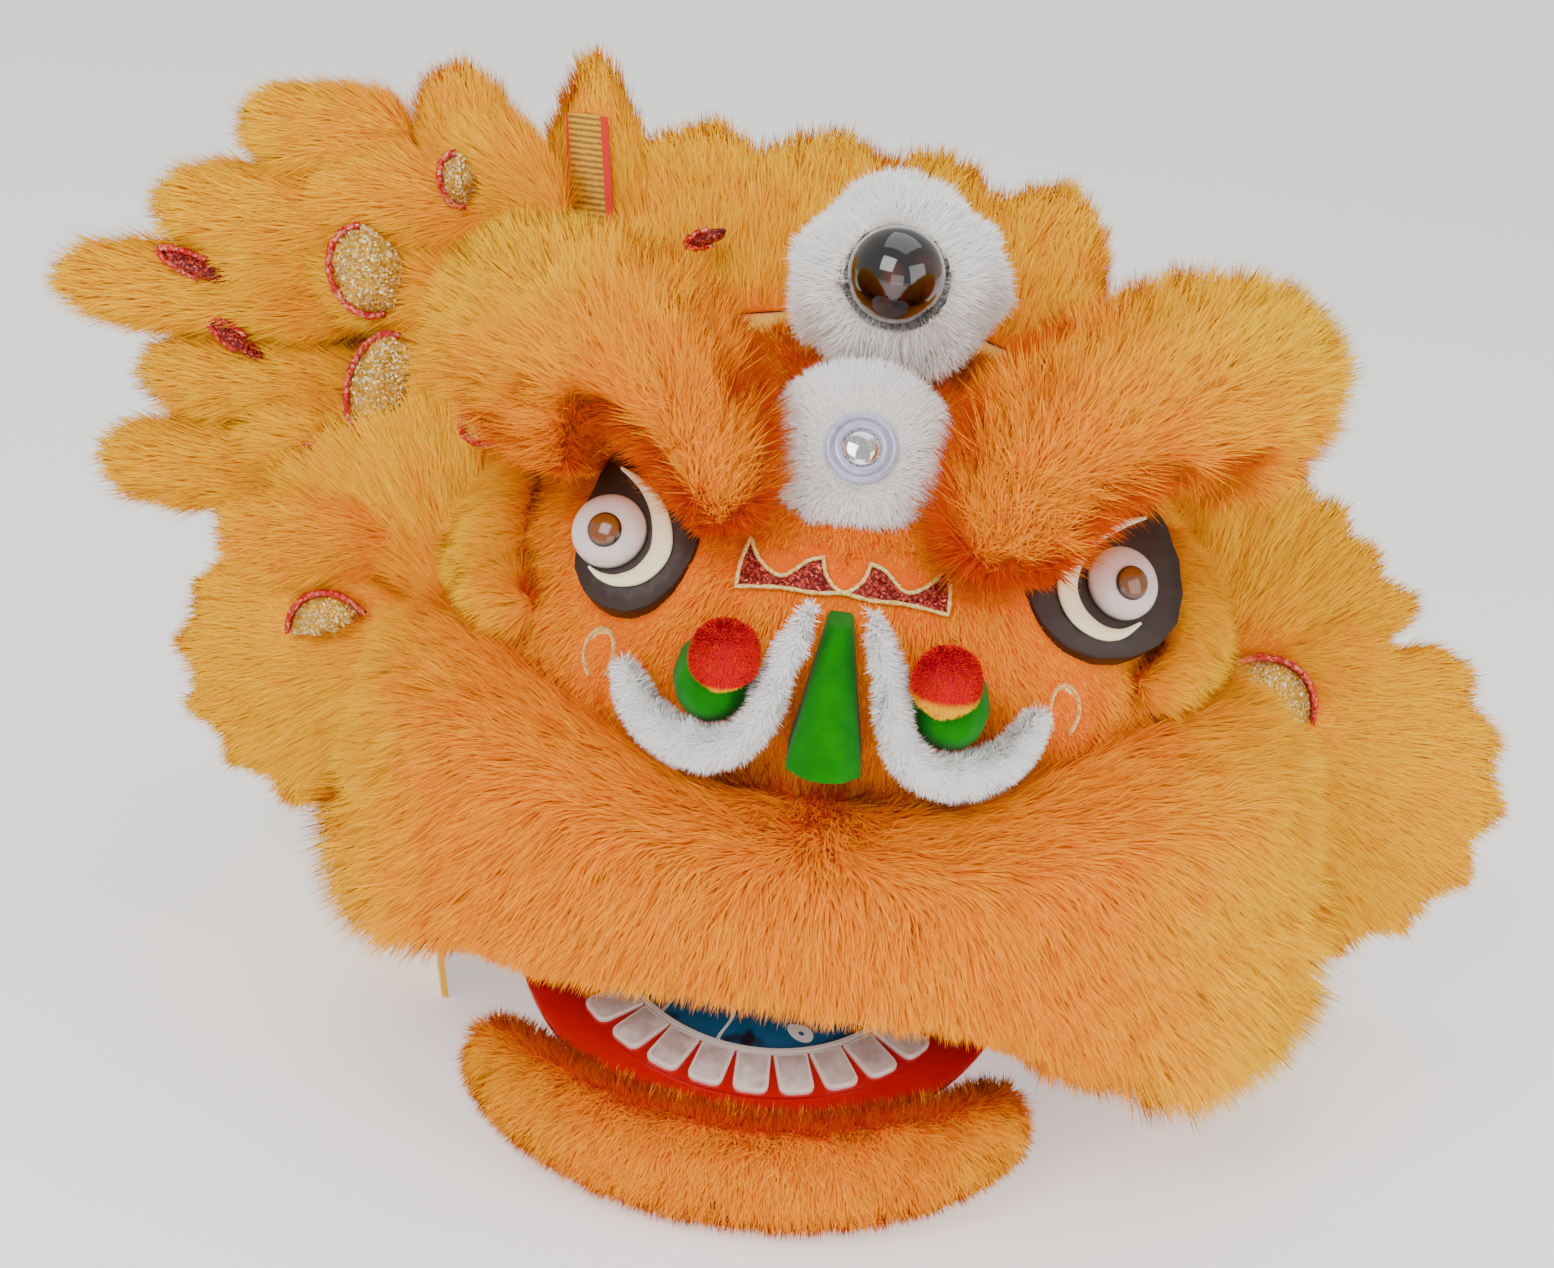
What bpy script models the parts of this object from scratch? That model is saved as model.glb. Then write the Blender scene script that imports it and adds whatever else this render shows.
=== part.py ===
"""Lion dance head: a hollow shell with fur brows, lip, ears and mane, a horn, a mirror and a hinged lower jaw.

The face looks towards -Y, +X is the viewer's right, +Z is up and the floor is z = 0. Metres throughout.
"""
import math

import bmesh
import bpy
from mathutils import Matrix, Vector
from mathutils.bvhtree import BVHTree

# Shell
SHELL_HEIGHT = 0.376
SHELL_HALF_WIDTH = 0.208
SHELL_FRONT = 0.205
SHELL_BACK = 0.245
SHELL_WALL = 0.003
SHELL_AROUND = 30
SHELL_POWER = 2.3
# share of height, of half width, of front reach, of back reach
SHELL_SECTIONS = (
    (0.00, 0.93, 0.78, 0.88),
    (0.17, 0.97, 0.91, 0.96),
    (0.34, 1.00, 0.99, 1.00),
    (0.52, 0.98, 1.00, 1.00),
    (0.67, 0.92, 0.96, 0.97),
    (0.79, 0.81, 0.86, 0.88),
    (0.88, 0.66, 0.68, 0.73),
    (0.95, 0.45, 0.46, 0.52),
    (0.985, 0.24, 0.24, 0.28),
)

# Mouth cut in the shell, with an arch on each side
MOUTH_HALF_WIDTH = 0.154
MOUTH_HEIGHT = 0.122
ARCH_HEIGHT = 0.066
ARCH_BACK = -0.060

# Fit of what is sewn or glued on
SEAT = 0.0004
SINK = 0.012
LAYER = 0.0005
EDGE = 0.004

# Upper lip
LIP_DEPTH = 0.052
LIP_SHIFT = 0.014
# angle from the front in degrees, lower edge, upper edge, share of depth
LIP_TABLE = (
    (-86, 0.124, 0.222, 0.50),
    (-70, 0.098, 0.234, 0.80),
    (-52, 0.086, 0.236, 0.98),
    (-30, 0.094, 0.222, 1.00),
    (-12, 0.112, 0.206, 1.00),
    (10, 0.108, 0.206, 1.00),
    (24, 0.082, 0.222, 1.04),
    (40, 0.054, 0.234, 1.12),
    (58, 0.050, 0.240, 1.20),
    (72, 0.062, 0.238, 1.12),
    (84, 0.086, 0.230, 0.80),
)

# Cheeks: angle from the front in degrees, lower edge, upper edge, share of depth
CHEEK_DEPTH = 0.016
CHEEK_TABLE = (
    (48, 0.243, 0.258, 0.8),
    (57, 0.246, 0.266, 1.0),
    (66, 0.245, 0.300, 1.0),
    (80, 0.245, 0.305, 0.8),
)

# Brows: across, forward, up, radius
BROW_RIGHT = (
    (0.053, -0.166, 0.327, 0.014),
    (0.072, -0.162, 0.339, 0.034),
    (0.102, -0.142, 0.366, 0.046),
    (0.138, -0.120, 0.386, 0.049),
    (0.171, -0.102, 0.396, 0.042),
    (0.195, -0.090, 0.402, 0.030),
    (0.209, -0.084, 0.405, 0.014),
)
BROW_LEFT = (
    (-0.054, -0.166, 0.327, 0.013),
    (-0.071, -0.160, 0.340, 0.031),
    (-0.097, -0.142, 0.358, 0.048),
    (-0.130, -0.120, 0.377, 0.051),
    (-0.158, -0.100, 0.381, 0.043),
    (-0.178, -0.086, 0.375, 0.030),
    (-0.190, -0.080, 0.370, 0.014),
)
BROW_AROUND = 10
BROW_LOCK = 0.009

# Eyes
# across, up, width share, how far out the eyeball sits, for the left and the right eye
EYES = ((-1, "left", 0.100, 0.301, 0.74, 0.0125), (1, "right", 0.124, 0.300, 1.10, 0.007))
EYE_PLATE = 0.0085
EYEBALL_RADIUS = 0.0185
EYEBALL_DOME = 0.011
PUPIL_RADIUS = 0.0085
PUPIL_DOME = 0.0022
SWIRL_THICK = 0.0022
# teardrop outline about the eye centre: outwards, upwards
EYE_OUTLINE = (
    (0.034, 0.041), (0.039, 0.026), (0.042, 0.008), (0.040, -0.010), (0.034, -0.025),
    (0.022, -0.035), (0.006, -0.040), (-0.012, -0.040), (-0.027, -0.033), (-0.037, -0.021),
    (-0.042, -0.006), (-0.041, 0.008), (-0.034, 0.018), (-0.022, 0.026), (-0.006, 0.033), (0.014, 0.039),
)
# centre line of the cream band: outwards, upwards, width
EYE_SWIRL = (
    (0.024, 0.033, 0.0012), (0.006, 0.027, 0.0050), (-0.012, 0.018, 0.0072), (-0.024, 0.004, 0.0085),
    (-0.027, -0.012, 0.0085), (-0.019, -0.025, 0.0072), (-0.005, -0.0305, 0.0050), (0.010, -0.028, 0.0012),
)
EYEBALL_LIFT = -0.003

# Horn
HORN_CENTRE = (0.010, -0.020, 0.408)
HORN_RADIUS = 0.052
HORN_LOCK = 0.008
HORN_BALL = (0.008, -0.064, 0.427)
HORN_BALL_RADIUS = 0.025

# Mirror
MIRROR_UP = 0.345
MIRROR_FUR_RADIUS = 0.043
MIRROR_FUR_DEPTH = 0.020
MIRROR_FUR_FLAT = 0.44
MIRROR_LOCK = 0.005
MIRROR_RIM_RADIUS = 0.018
MIRROR_GLASS_RADIUS = 0.0095
MIRROR_RIM_THICK = 0.004

# Nose
NOSE_TOP_UP = 0.290
NOSE_BOTTOM_UP = 0.228
NOSE_TOP_HALF_WIDTH = 0.006
NOSE_BOTTOM_HALF_WIDTH = 0.018
NOSE_TOP_DEPTH = 0.026
NOSE_BOTTOM_DEPTH = 0.050
NOSTRIL_ACROSS = 0.056
NOSTRIL_UP = 0.254
NOSTRIL_RADIUS = 0.020
NOSTRIL_DEPTH = 0.037
POMPOM_RADIUS = 0.0165
POMPOM_PLACE = (0.052, -0.2295, 0.279)
# white trim of the right side: across, forward, up, radius
TRIM_STATIONS = (
    (0.013, -0.2068, 0.302, 0.0045),
    (0.0175, -0.2158, 0.293, 0.0080),
    (0.026, -0.2228, 0.272, 0.0095),
    (0.031, -0.2288, 0.250, 0.0105),
    (0.041, -0.2298, 0.235, 0.0115),
    (0.057, -0.2258, 0.229, 0.0125),
    (0.075, -0.2168, 0.231, 0.0125),
    (0.090, -0.2078, 0.240, 0.0110),
    (0.098, -0.2008, 0.254, 0.0085),
    (0.101, -0.1978, 0.262, 0.0040),
)
TRIM_LOCK = 0.0035

# Bridge ornament: across, height, width of the band
ORNAMENT_THICK = 0.0042
ORNAMENT_BAND = (
    (0.050, 0.0145, 0.0012),
    (0.048, 0.006, 0.0060),
    (0.043, -0.003, 0.0120),
    (0.034, -0.002, 0.0110),
    (0.025, 0.001, 0.0110),
    (0.016, 0.004, 0.0125),
    (0.009, 0.002, 0.0090),
    (0.005, -0.004, 0.0040),
)
ORNAMENT_UP = 0.302
ORNAMENT_CORD = 0.0012

# Ears and temples: angle from outwards in degrees, reach
EAR_ROOT = (0.190, 0.030, 0.180)
EAR_INNER = 0.010
EAR_THICK = 0.026
EAR_PLEAT = 0.0065
EAR_SWEEP = 0.26
EAR_REACH = (
    (-84, 0.112), (-66, 0.156), (-48, 0.182), (-28, 0.198), (-8, 0.190), (8, 0.164), (20, 0.150),
)
LEFT_EAR_SHARE = 0.86
# Glitter disc in each ear: side, word, across, forward, up, radius
EAR_PANELS = ((-1, "left", 0.270, 0.013, 0.172, 0.022), (1, "right", 0.232, 0.004, 0.196, 0.030))
EAR_PANEL_SINK = 0.014
TEMPLE_LIFT = 0.004
EAR_CUTTER_SPARE = 3.0
EAR_CUTTER_DEPTH = 70.0
EAR_PANEL_THICK = 0.002
EAR_TRIM = 0.003
TEMPLE_REACH = ((26, 0.140), (40, 0.130), (58, 0.134), (76, 0.142), (90, 0.140))

# Mane petals of the left side: tip across, forward, up; root across, forward, up; radius
MANE_LEFT = (
    (-0.430, 0.105, 0.327, -0.275, 0.102, 0.333, 0.0215),
    (-0.375, 0.102, 0.376, -0.262, 0.098, 0.382, 0.0225),
    (-0.330, 0.102, 0.424, -0.262, 0.098, 0.428, 0.0205),
    (-0.378, 0.104, 0.282, -0.262, 0.100, 0.285, 0.0200),
    (-0.398, 0.099, 0.231, -0.262, 0.096, 0.233, 0.0205),
    (-0.232, 0.100, 0.452, -0.212, 0.096, 0.382, 0.0210),
)
MANE_AROUND = 6
MANE_LOCK = 0.007
# Mane petals of the right side, swept back
MANE_RIGHT = (
    (0.198, 0.210, 0.322, 0.152, 0.088, 0.306, 0.024),
    (0.216, 0.222, 0.258, 0.176, 0.102, 0.240, 0.024),
)
# Upright fur behind the horn: across, top
CREST_TOPS = (
    (-0.183, 0.418), (-0.176, 0.456), (-0.164, 0.474), (-0.150, 0.460), (-0.132, 0.424), (-0.112, 0.434),
    (-0.090, 0.440), (-0.068, 0.426), (-0.046, 0.438), (-0.022, 0.444), (0.000, 0.430), (0.022, 0.440),
    (0.044, 0.432), (0.064, 0.416), (0.086, 0.430), (0.106, 0.428), (0.124, 0.402),
)
CREST_FOOT_FORWARD = 0.098
CREST_TOP_FORWARD = 0.140
CREST_THICK = 0.044
CREST_LOCK = 0.006
# Gold strip on the crest: across, along the height
STRIP_ACROSS = -0.160
STRIP_LEAN = 0.012
STRIP_WIDTH = 0.024
STRIP_LOW = 0.392
STRIP_HIGH = 0.452
STRIP_THICK = 0.002
# Red scalloped edges on the cloth at the ends of petals: across, up, radius, turn in degrees
PETAL_EDGES = (
    (-0.268, 0.384, 0.024, 15.0),
    (-0.250, 0.289, 0.024, -15.0),
)
PETAL_EDGE_RADIUS = 0.0018

# Glitter cloth under the left petals: share across, lower edge, upper edge
PANEL_ROOT = 0.165
PANEL_TIP = 0.385
PANEL_FORWARD_ROOT = 0.106
PANEL_FORWARD_TIP = 0.120
PANEL_BELLY = 0.004
PANEL_WALL = 0.002
PANEL_TABLE = (
    (0.0, 0.220, 0.296),
    (0.143, 0.214, 0.350),
    (0.286, 0.208, 0.426),
    (0.5, 0.210, 0.436),
    (0.714, 0.214, 0.430),
    (0.857, 0.226, 0.392),
    (1.0, 0.244, 0.356),
)

# Fur on the back of the shell: angle from the front, lower edge, upper edge, share of depth
BACK_DEPTH = 0.024
BACK_TABLE = (
    (124, 0.080, 0.292, 0.7),
    (144, 0.055, 0.300, 1.0),
    (180, 0.040, 0.308, 1.0),
    (216, 0.055, 0.300, 1.0),
    (236, 0.080, 0.292, 0.7),
)

# Depth of the locks in the lip and cheek fur
LIP_LOCK = 0.007
CHEEK_LOCK = 0.004

# Cheek cords: place, half sizes of the loop, width of the cord, how far it stands out
CHEEK_CORD_ACROSS = 0.113
CHEEK_CORD_UP = 0.249
CHEEK_CORD_HALF_WIDTH = 0.009
CHEEK_CORD_HALF_HEIGHT = 0.013
CHEEK_CORD_WIDTH = 0.0026
CHEEK_CORD_DEPTH = 0.0064

# Lower jaw
HINGE_FORWARD = 0.050
HINGE_UP = 0.122
JAW_SHIFT = -0.015
JAW_FRONT = -0.240
JAW_FRONT_UP = 0.041
JAW_SLOPE = 20.0
JAW_RADIUS = 0.127
JAW_THICK = 0.004
JAW_LENGTH = 0.190
FLOOR_RADIUS = 0.076
FLOOR_THICK = 0.0015
TEETH = 9
TEETH_SPAN = 58.0
TEETH_OUTER = 0.107
TEETH_INNER = 0.078
TEETH_THICK = 0.0035
GUM_THICK = 0.0012
ARM_WIDTH = 0.012
ARM_THICK = 0.006
# Round end of the arm about the hinge, in degrees
ARM_EYE = (30.0, 60.0, 84.0)
ARM_ACROSS = 0.122
HINGE_GAP = 0.0018
# jaw fur: angle from the front in degrees, radius, drop under the board
JAW_FUR_TABLE = (
    (-62, 0.011, 0.021), (-54, 0.018, 0.019), (-37, 0.0215, 0.011), (-18, 0.0225, 0.006), (0, 0.0230, 0.004),
    (18, 0.0225, 0.006), (37, 0.0215, 0.011), (53, 0.018, 0.019), (60, 0.011, 0.021),
)
JAW_FUR_REACH = 0.149

COLOURS = {
    "yellow_cloth": ("#E8B81C", 0.85, 0.0),
    "orange_fur": ("#F79A18", 0.95, 0.0),
    "yellow_fur": ("#F3C41C", 0.95, 0.0),
    "white_fur": ("#F2EEE8", 0.95, 0.0),
    "dark_eye": ("#2E1A0C", 0.35, 0.0),
    "cream_paint": ("#F3E4BC", 0.5, 0.0),
    "eyeball_white": ("#E4DCDC", 0.2, 0.0),
    "pupil_brown": ("#7A4414", 0.25, 0.0),
    "black_gloss": ("#140C08", 0.08, 0.0),
    "mirror_rim": ("#C6CAE0", 0.3, 0.2),
    "mirror_glass": ("#D8DADF", 0.05, 1.0),
    "green_felt": ("#1C8A1A", 0.95, 0.0),
    "red_pompom": ("#D8101E", 0.95, 0.0),
    "maroon_glitter": ("#7C1212", 0.4, 0.2),
    "gold_cord": ("#E8D088", 0.5, 0.2),
    "gold_glitter": ("#D9A520", 0.4, 0.4),
    "red_trim": ("#C81414", 0.7, 0.0),
    "jaw_red": ("#C80A10", 0.35, 0.0),
    "mouth_blue": ("#1E5A7C", 0.4, 0.0),
    "teeth_white": ("#E6DAD4", 0.35, 0.0),
    "bamboo": ("#B98B52", 0.6, 0.0),
    "steel": ("#9A9CA0", 0.35, 1.0),
}


def clear_scene():
    for obj in list(bpy.data.objects):
        bpy.data.objects.remove(obj, do_unlink=True)
    for mesh in list(bpy.data.meshes):
        bpy.data.meshes.remove(mesh)
    for mat in list(bpy.data.materials):
        bpy.data.materials.remove(mat)


def linear(code):
    channels = []
    for start in (1, 3, 5):
        value = int(code[start:start + 2], 16) / 255.0
        value = value / 12.92 if value <= 0.04045 else ((value + 0.055) / 1.055) ** 2.4
        channels.append(value)
    return (channels[0], channels[1], channels[2], 1.0)


def material(name):
    found = bpy.data.materials.get(name)
    if found:
        return found
    code, rough, metal = COLOURS[name]
    mat = bpy.data.materials.new(name)
    mat.use_nodes = True
    shader = mat.node_tree.nodes["Principled BSDF"]
    shader.inputs["Base Color"].default_value = linear(code)
    shader.inputs["Roughness"].default_value = rough
    shader.inputs["Metallic"].default_value = metal
    mat.diffuse_color = linear(code)
    return mat


def to_object(name, bm, slot, smooth=40.0):
    bmesh.ops.recalc_face_normals(bm, faces=bm.faces[:])
    mesh = bpy.data.meshes.new(name)
    bm.to_mesh(mesh)
    bm.free()
    obj = bpy.data.objects.new(name, mesh)
    bpy.context.scene.collection.objects.link(obj)
    mesh.materials.append(material(slot))
    mesh.shade_smooth()
    mesh.set_sharp_from_angle(angle=math.radians(smooth))
    return obj


def blend_table(table, at):
    """Values of a table row at a position given in its first column, joined by smooth steps."""
    if at <= table[0][0]:
        return table[0][1:]
    if at >= table[-1][0]:
        return table[-1][1:]
    for low, high in zip(table, table[1:]):
        if low[0] <= at <= high[0]:
            t = (at - low[0]) / (high[0] - low[0])
            return tuple(a + (b - a) * t for a, b in zip(low[1:], high[1:]))
    return table[-1][1:]


def smooth_path(stations, steps):
    """Points along a smooth curve through rows of numbers."""
    rows = []
    last = len(stations) - 1
    for index in range(last):
        p0 = stations[max(index - 1, 0)]
        p1 = stations[index]
        p2 = stations[index + 1]
        p3 = stations[min(index + 2, last)]
        for step in range(steps):
            t = step / steps
            row = []
            for a, b, c, d in zip(p0, p1, p2, p3):
                row.append(0.5 * (2 * b + (c - a) * t + (2 * a - 5 * b + 4 * c - d) * t * t
                                  + (3 * b - a - 3 * c + d) * t ** 3))
            rows.append(tuple(row))
    rows.append(tuple(stations[-1]))
    return rows


# Shell form

def shell_section(share, inset):
    width, front, back = blend_table(SHELL_SECTIONS, share)
    return (width * SHELL_HALF_WIDTH - inset, front * SHELL_FRONT - inset, back * SHELL_BACK - inset)


def shell_point(degrees, share, inset=0.0):
    """Point of the shell at an angle from the front and a share of the height."""
    half_width, front, back = shell_section(share, inset)
    angle = math.radians(degrees)
    side = math.sin(angle)
    ahead = math.cos(angle)
    reach = front if ahead > 0 else back
    fold = 2.0 / SHELL_POWER
    x = half_width * math.copysign(abs(side) ** fold, side)
    y = -reach * math.copysign(abs(ahead) ** fold, ahead)
    return Vector((x, y, share * (SHELL_HEIGHT - inset)))


def shell_rings(bm, inset):
    rings = []
    for row in SHELL_SECTIONS:
        ring = []
        for step in range(SHELL_AROUND):
            point = shell_point(360.0 * step / SHELL_AROUND, row[0], inset)
            ring.append(bm.verts.new(point))
        rings.append(ring)
    top = bm.verts.new((0.0, 0.0, SHELL_HEIGHT - inset))
    for low, high in zip(rings, rings[1:]):
        for step in range(SHELL_AROUND):
            after = (step + 1) % SHELL_AROUND
            bm.faces.new((low[step], low[after], high[after], high[step]))
    for step in range(SHELL_AROUND):
        after = (step + 1) % SHELL_AROUND
        bm.faces.new((rings[-1][step], rings[-1][after], top))
    return rings


def outer_form():
    """Outer face of the shell as a tree that other pieces are seated on."""
    bm = bmesh.new()
    shell_rings(bm, 0.0)
    bmesh.ops.recalc_face_normals(bm, faces=bm.faces[:])
    top = max(bm.faces, key=lambda face: face.calc_center_median().z)
    if top.normal.z < 0:
        bmesh.ops.reverse_faces(bm, faces=bm.faces[:])
    tree = BVHTree.FromBMesh(bm)
    bm.free()
    return tree


def make_shell():
    bm = bmesh.new()
    outer = shell_rings(bm, 0.0)
    inner = shell_rings(bm, SHELL_WALL)
    for step in range(SHELL_AROUND):
        after = (step + 1) % SHELL_AROUND
        bm.faces.new((outer[0][step], outer[0][after], inner[0][after], inner[0][step]))
    obj = to_object("shell", bm, "yellow_cloth")
    cutter = mouth_cutter()
    cut(obj, cutter)
    return obj


def mouth_cutter():
    wide = SHELL_HALF_WIDTH * 1.2
    outline = ((-wide, -0.05), (wide, -0.05), (wide, ARCH_HEIGHT), (MOUTH_HALF_WIDTH, ARCH_HEIGHT + 0.012),
               (MOUTH_HALF_WIDTH * 0.92, MOUTH_HEIGHT), (-MOUTH_HALF_WIDTH * 0.92, MOUTH_HEIGHT),
               (-MOUTH_HALF_WIDTH, ARCH_HEIGHT + 0.012), (-wide, ARCH_HEIGHT))
    obj = prism("mouth_cutter", [Vector((x, -0.4, z)) for x, z in outline],
                [Vector((x, ARCH_BACK, z)) for x, z in outline])
    return hide(obj)


def prism(name, low, high, slot="yellow_cloth"):
    bm = bmesh.new()
    bottom = [bm.verts.new(point) for point in low]
    top = [bm.verts.new(point) for point in high]
    bm.faces.new(bottom[::-1])
    bm.faces.new(top)
    count = len(low)
    for step in range(count):
        after = (step + 1) % count
        bm.faces.new((bottom[step], bottom[after], top[after], top[step]))
    return to_object(name, bm, slot)


def hide(obj):
    obj.hide_render = True
    obj.display_type = "WIRE"
    return obj


def form_cutter():
    """The shell's outer form grown by the seat gap, which trims what is fixed to the shell."""
    bm = bmesh.new()
    rings = shell_rings(bm, -SEAT)
    bm.faces.new(rings[0])
    return hide(to_object("form_cutter", bm, "yellow_cloth"))


def cut(obj, cutter):
    change = obj.modifiers.new("cut_" + cutter.name, "BOOLEAN")
    change.operation = "DIFFERENCE"
    change.solver = "EXACT"
    change.object = cutter


def add_locks(bm, tree, length, comb, clear=0.006):
    """Raise a combed tip on each face that is away from the form."""
    bmesh.ops.recalc_face_normals(bm, faces=bm.faces[:])
    free = []
    for face in bm.faces:
        centre = face.calc_center_median()
        near, normal, _, _ = tree.find_nearest(centre)
        if (centre - near).dot(normal) > clear and face.normal.dot(normal) > -0.25 and len(face.verts) > 3:
            free.append(face)
    raise_tips(bm, free, length, comb)


def roll(name, rows, around, slot, tree, lock, comb=(0, 0, 0), flat=1.0, up=(0, 0, 1), post=None):
    """Closed roll along rows of across, forward, up, radius."""
    bm = bmesh.new()
    points = [Vector(row[:3]) for row in rows]
    rings = []
    for index, row in enumerate(rows):
        ahead = points[min(index + 1, len(rows) - 1)] - points[max(index - 1, 0)]
        ahead.normalize()
        side = ahead.cross(Vector(up)).normalized()
        top = side.cross(ahead)
        ring = []
        for step in range(around):
            angle = 2 * math.pi * (step + 0.5 * (index % 2)) / around
            offset = side * math.cos(angle) * row[3] * flat + top * math.sin(angle) * row[3]
            ring.append(bm.verts.new(points[index] + offset))
        rings.append(ring)
    for low, high in zip(rings, rings[1:]):
        for step in range(around):
            after = (step + 1) % around
            bm.faces.new((low[step], low[after], high[after], high[step]))
    for ring, centre, beyond, radius in ((rings[0], points[0], points[0] - points[1], rows[0][3]),
                                         (rings[-1], points[-1], points[-1] - points[-2], rows[-1][3])):
        pole = bm.verts.new(centre + beyond.normalized() * radius * 0.6)
        for step in range(around):
            bm.faces.new((ring[step], ring[(step + 1) % around], pole))
    if lock > 0:
        add_locks(bm, tree, lock, comb)
    if post is not None:
        keep_off(bm, *post)
    return to_object(name, bm, slot, 30.0 if lock else 50.0)


def slab(name, front, back, slot, lock=0.0, comb=(0, 0, 0), smooth=40.0):
    """Closed body between two grids of points of the same size."""
    bm = bmesh.new()
    grids = []
    for grid in (front, back):
        grids.append([[bm.verts.new(point) for point in row] for row in grid])
    face_rows, back_rows = grids
    tall = len(front)
    wide = len(front[0])
    outer = []
    for i in range(tall - 1):
        for j in range(wide - 1):
            outer.append(bm.faces.new((face_rows[i][j], face_rows[i][j + 1], face_rows[i + 1][j + 1],
                                       face_rows[i + 1][j])))
            low = back_rows[i]
            high = back_rows[i + 1]
            bm.faces.new((low[j], high[j], high[j + 1], low[j + 1]))
    border = [(0, j) for j in range(wide)] + [(i, wide - 1) for i in range(1, tall)]
    border += [(tall - 1, j) for j in range(wide - 2, -1, -1)] + [(i, 0) for i in range(tall - 2, 0, -1)]
    for here, there in zip(border, border[1:] + border[:1]):
        a = face_rows[here[0]][here[1]]
        b = face_rows[there[0]][there[1]]
        c = back_rows[there[0]][there[1]]
        d = back_rows[here[0]][here[1]]
        bm.faces.new((a, b, c, d))
    if lock > 0:
        bmesh.ops.recalc_face_normals(bm, faces=bm.faces[:])
        raise_tips(bm, outer, lock, comb)
    bmesh.ops.triangulate(bm, faces=bm.faces[:], quad_method="FIXED")
    return to_object(name, bm, slot, smooth)


def pad(name, table, columns, rows, depth, slot, tree, lock, comb, shift=0.0, side=1):
    """Fur pad on the shell between two edges given by angle."""
    front = []
    back = []
    first = table[0][0]
    last = table[-1][0]
    for row in range(rows + 1):
        t = row / rows
        front_row = []
        back_row = []
        for column in range(columns + 1):
            angle = first + (last - first) * column / columns
            low, high, share = blend_table(table, angle)
            height = low + (high - low) * t
            base = shell_point(side * (angle + shift), height / SHELL_HEIGHT)
            near, normal, _, _ = tree.find_nearest(base)
            u = 2.0 * column / columns - 1.0
            profile = max(0.0, 1.0 - abs(2 * t - 1.0) ** 2.6) ** (1 / 2.6)
            ends = max(0.0, 1.0 - abs(u) ** 6.0) ** 0.5
            rise = EDGE + (depth * share - EDGE) * profile * (0.35 + 0.65 * ends)
            smooth_normal = shell_normal(side * (angle + shift), height / SHELL_HEIGHT)
            back_row.append(near - normal * SINK)
            front_row.append(near + normal * SEAT + smooth_normal * rise)
        front.append(front_row)
        back.append(back_row)
    return slab(name, front, back, slot, lock, comb, 30.0)


def shell_normal(degrees, share):
    low = max(share - 0.01, 0.0)
    high = min(share + 0.01, 0.98)
    along = shell_point(degrees + 1.0, share) - shell_point(degrees - 1.0, share)
    upward = shell_point(degrees, high) - shell_point(degrees, low)
    return along.cross(upward).normalized()


class Facing:
    """Flat frame in front of a point of the shell, from which outlines are laid on to it."""

    def __init__(self, tree, across, height, side=1, tilt=0.0):
        start = Vector((across, -0.6, height))
        self.tree = tree
        hit, normal, _, _ = tree.ray_cast(start, Vector((0, 1, 0)))
        self.centre = hit
        self.normal = normal.lerp(Vector((0, -1, 0)), tilt).normalized()
        self.right = Vector((0, 0, 1)).cross(self.normal).normalized() * side
        self.up = self.normal.cross(self.right).normalized() * side

    def flat(self, a, b, height):
        """Point at a height over the frame's own plane."""
        return self.centre + self.right * a + self.up * b + self.normal * height

    def lay(self, a, b, height):
        """Point at a distance above the shell over local position a, b."""
        start = self.centre + self.right * a + self.up * b + self.normal * 0.08
        hit, _, _, _ = self.tree.ray_cast(start, -self.normal)
        if hit is None:
            hit = self.centre + self.right * a + self.up * b
        return hit + self.normal * height


def applique(name, frame, outline, shares, base, top, slot, offset=(0.0, 0.0), smooth=40.0,
             lock=0.0, locked=0.0):
    """Piece over a flat frame: outline rings about a centre, with heights over the frame as functions."""
    bm = bmesh.new()
    count = len(outline)
    layers = []
    for level in (base, top):
        centre = bm.verts.new(frame.flat(offset[0], offset[1], level(offset[0], offset[1], 0.0)))
        rings = []
        for share in shares:
            ring = []
            for a, b in outline:
                x = offset[0] + a * share
                y = offset[1] + b * share
                ring.append(bm.verts.new(frame.flat(x, y, level(x, y, share))))
            rings.append(ring)
        layers.append((centre, rings))
    outer_faces = []
    for centre, rings in layers:
        for step in range(count):
            after = (step + 1) % count
            bm.faces.new((centre, rings[0][step], rings[0][after]))
        for number, (low, high) in enumerate(zip(rings, rings[1:])):
            for step in range(count):
                after = (step + 1) % count
                made = bm.faces.new((low[step], high[step], high[after], low[after]))
                if centre is layers[1][0] and shares[number] >= locked:
                    outer_faces.append(made)
    for step in range(count):
        after = (step + 1) % count
        bm.faces.new((layers[0][1][-1][step], layers[0][1][-1][after], layers[1][1][-1][after],
                      layers[1][1][-1][step]))
    bmesh.ops.recalc_face_normals(bm, faces=bm.faces[:])
    if lock > 0:
        raise_tips(bm, outer_faces, lock, (0, 0, 0))
    return to_object(name, bm, slot, smooth)


def raise_tips(bm, faces, length, comb):
    made = bmesh.ops.poke(bm, faces=faces)
    for vert in made["verts"]:
        normal = Vector()
        for face in vert.link_faces:
            normal += face.normal
        vert.co += (normal.normalized() + Vector(comb)) * length


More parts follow.
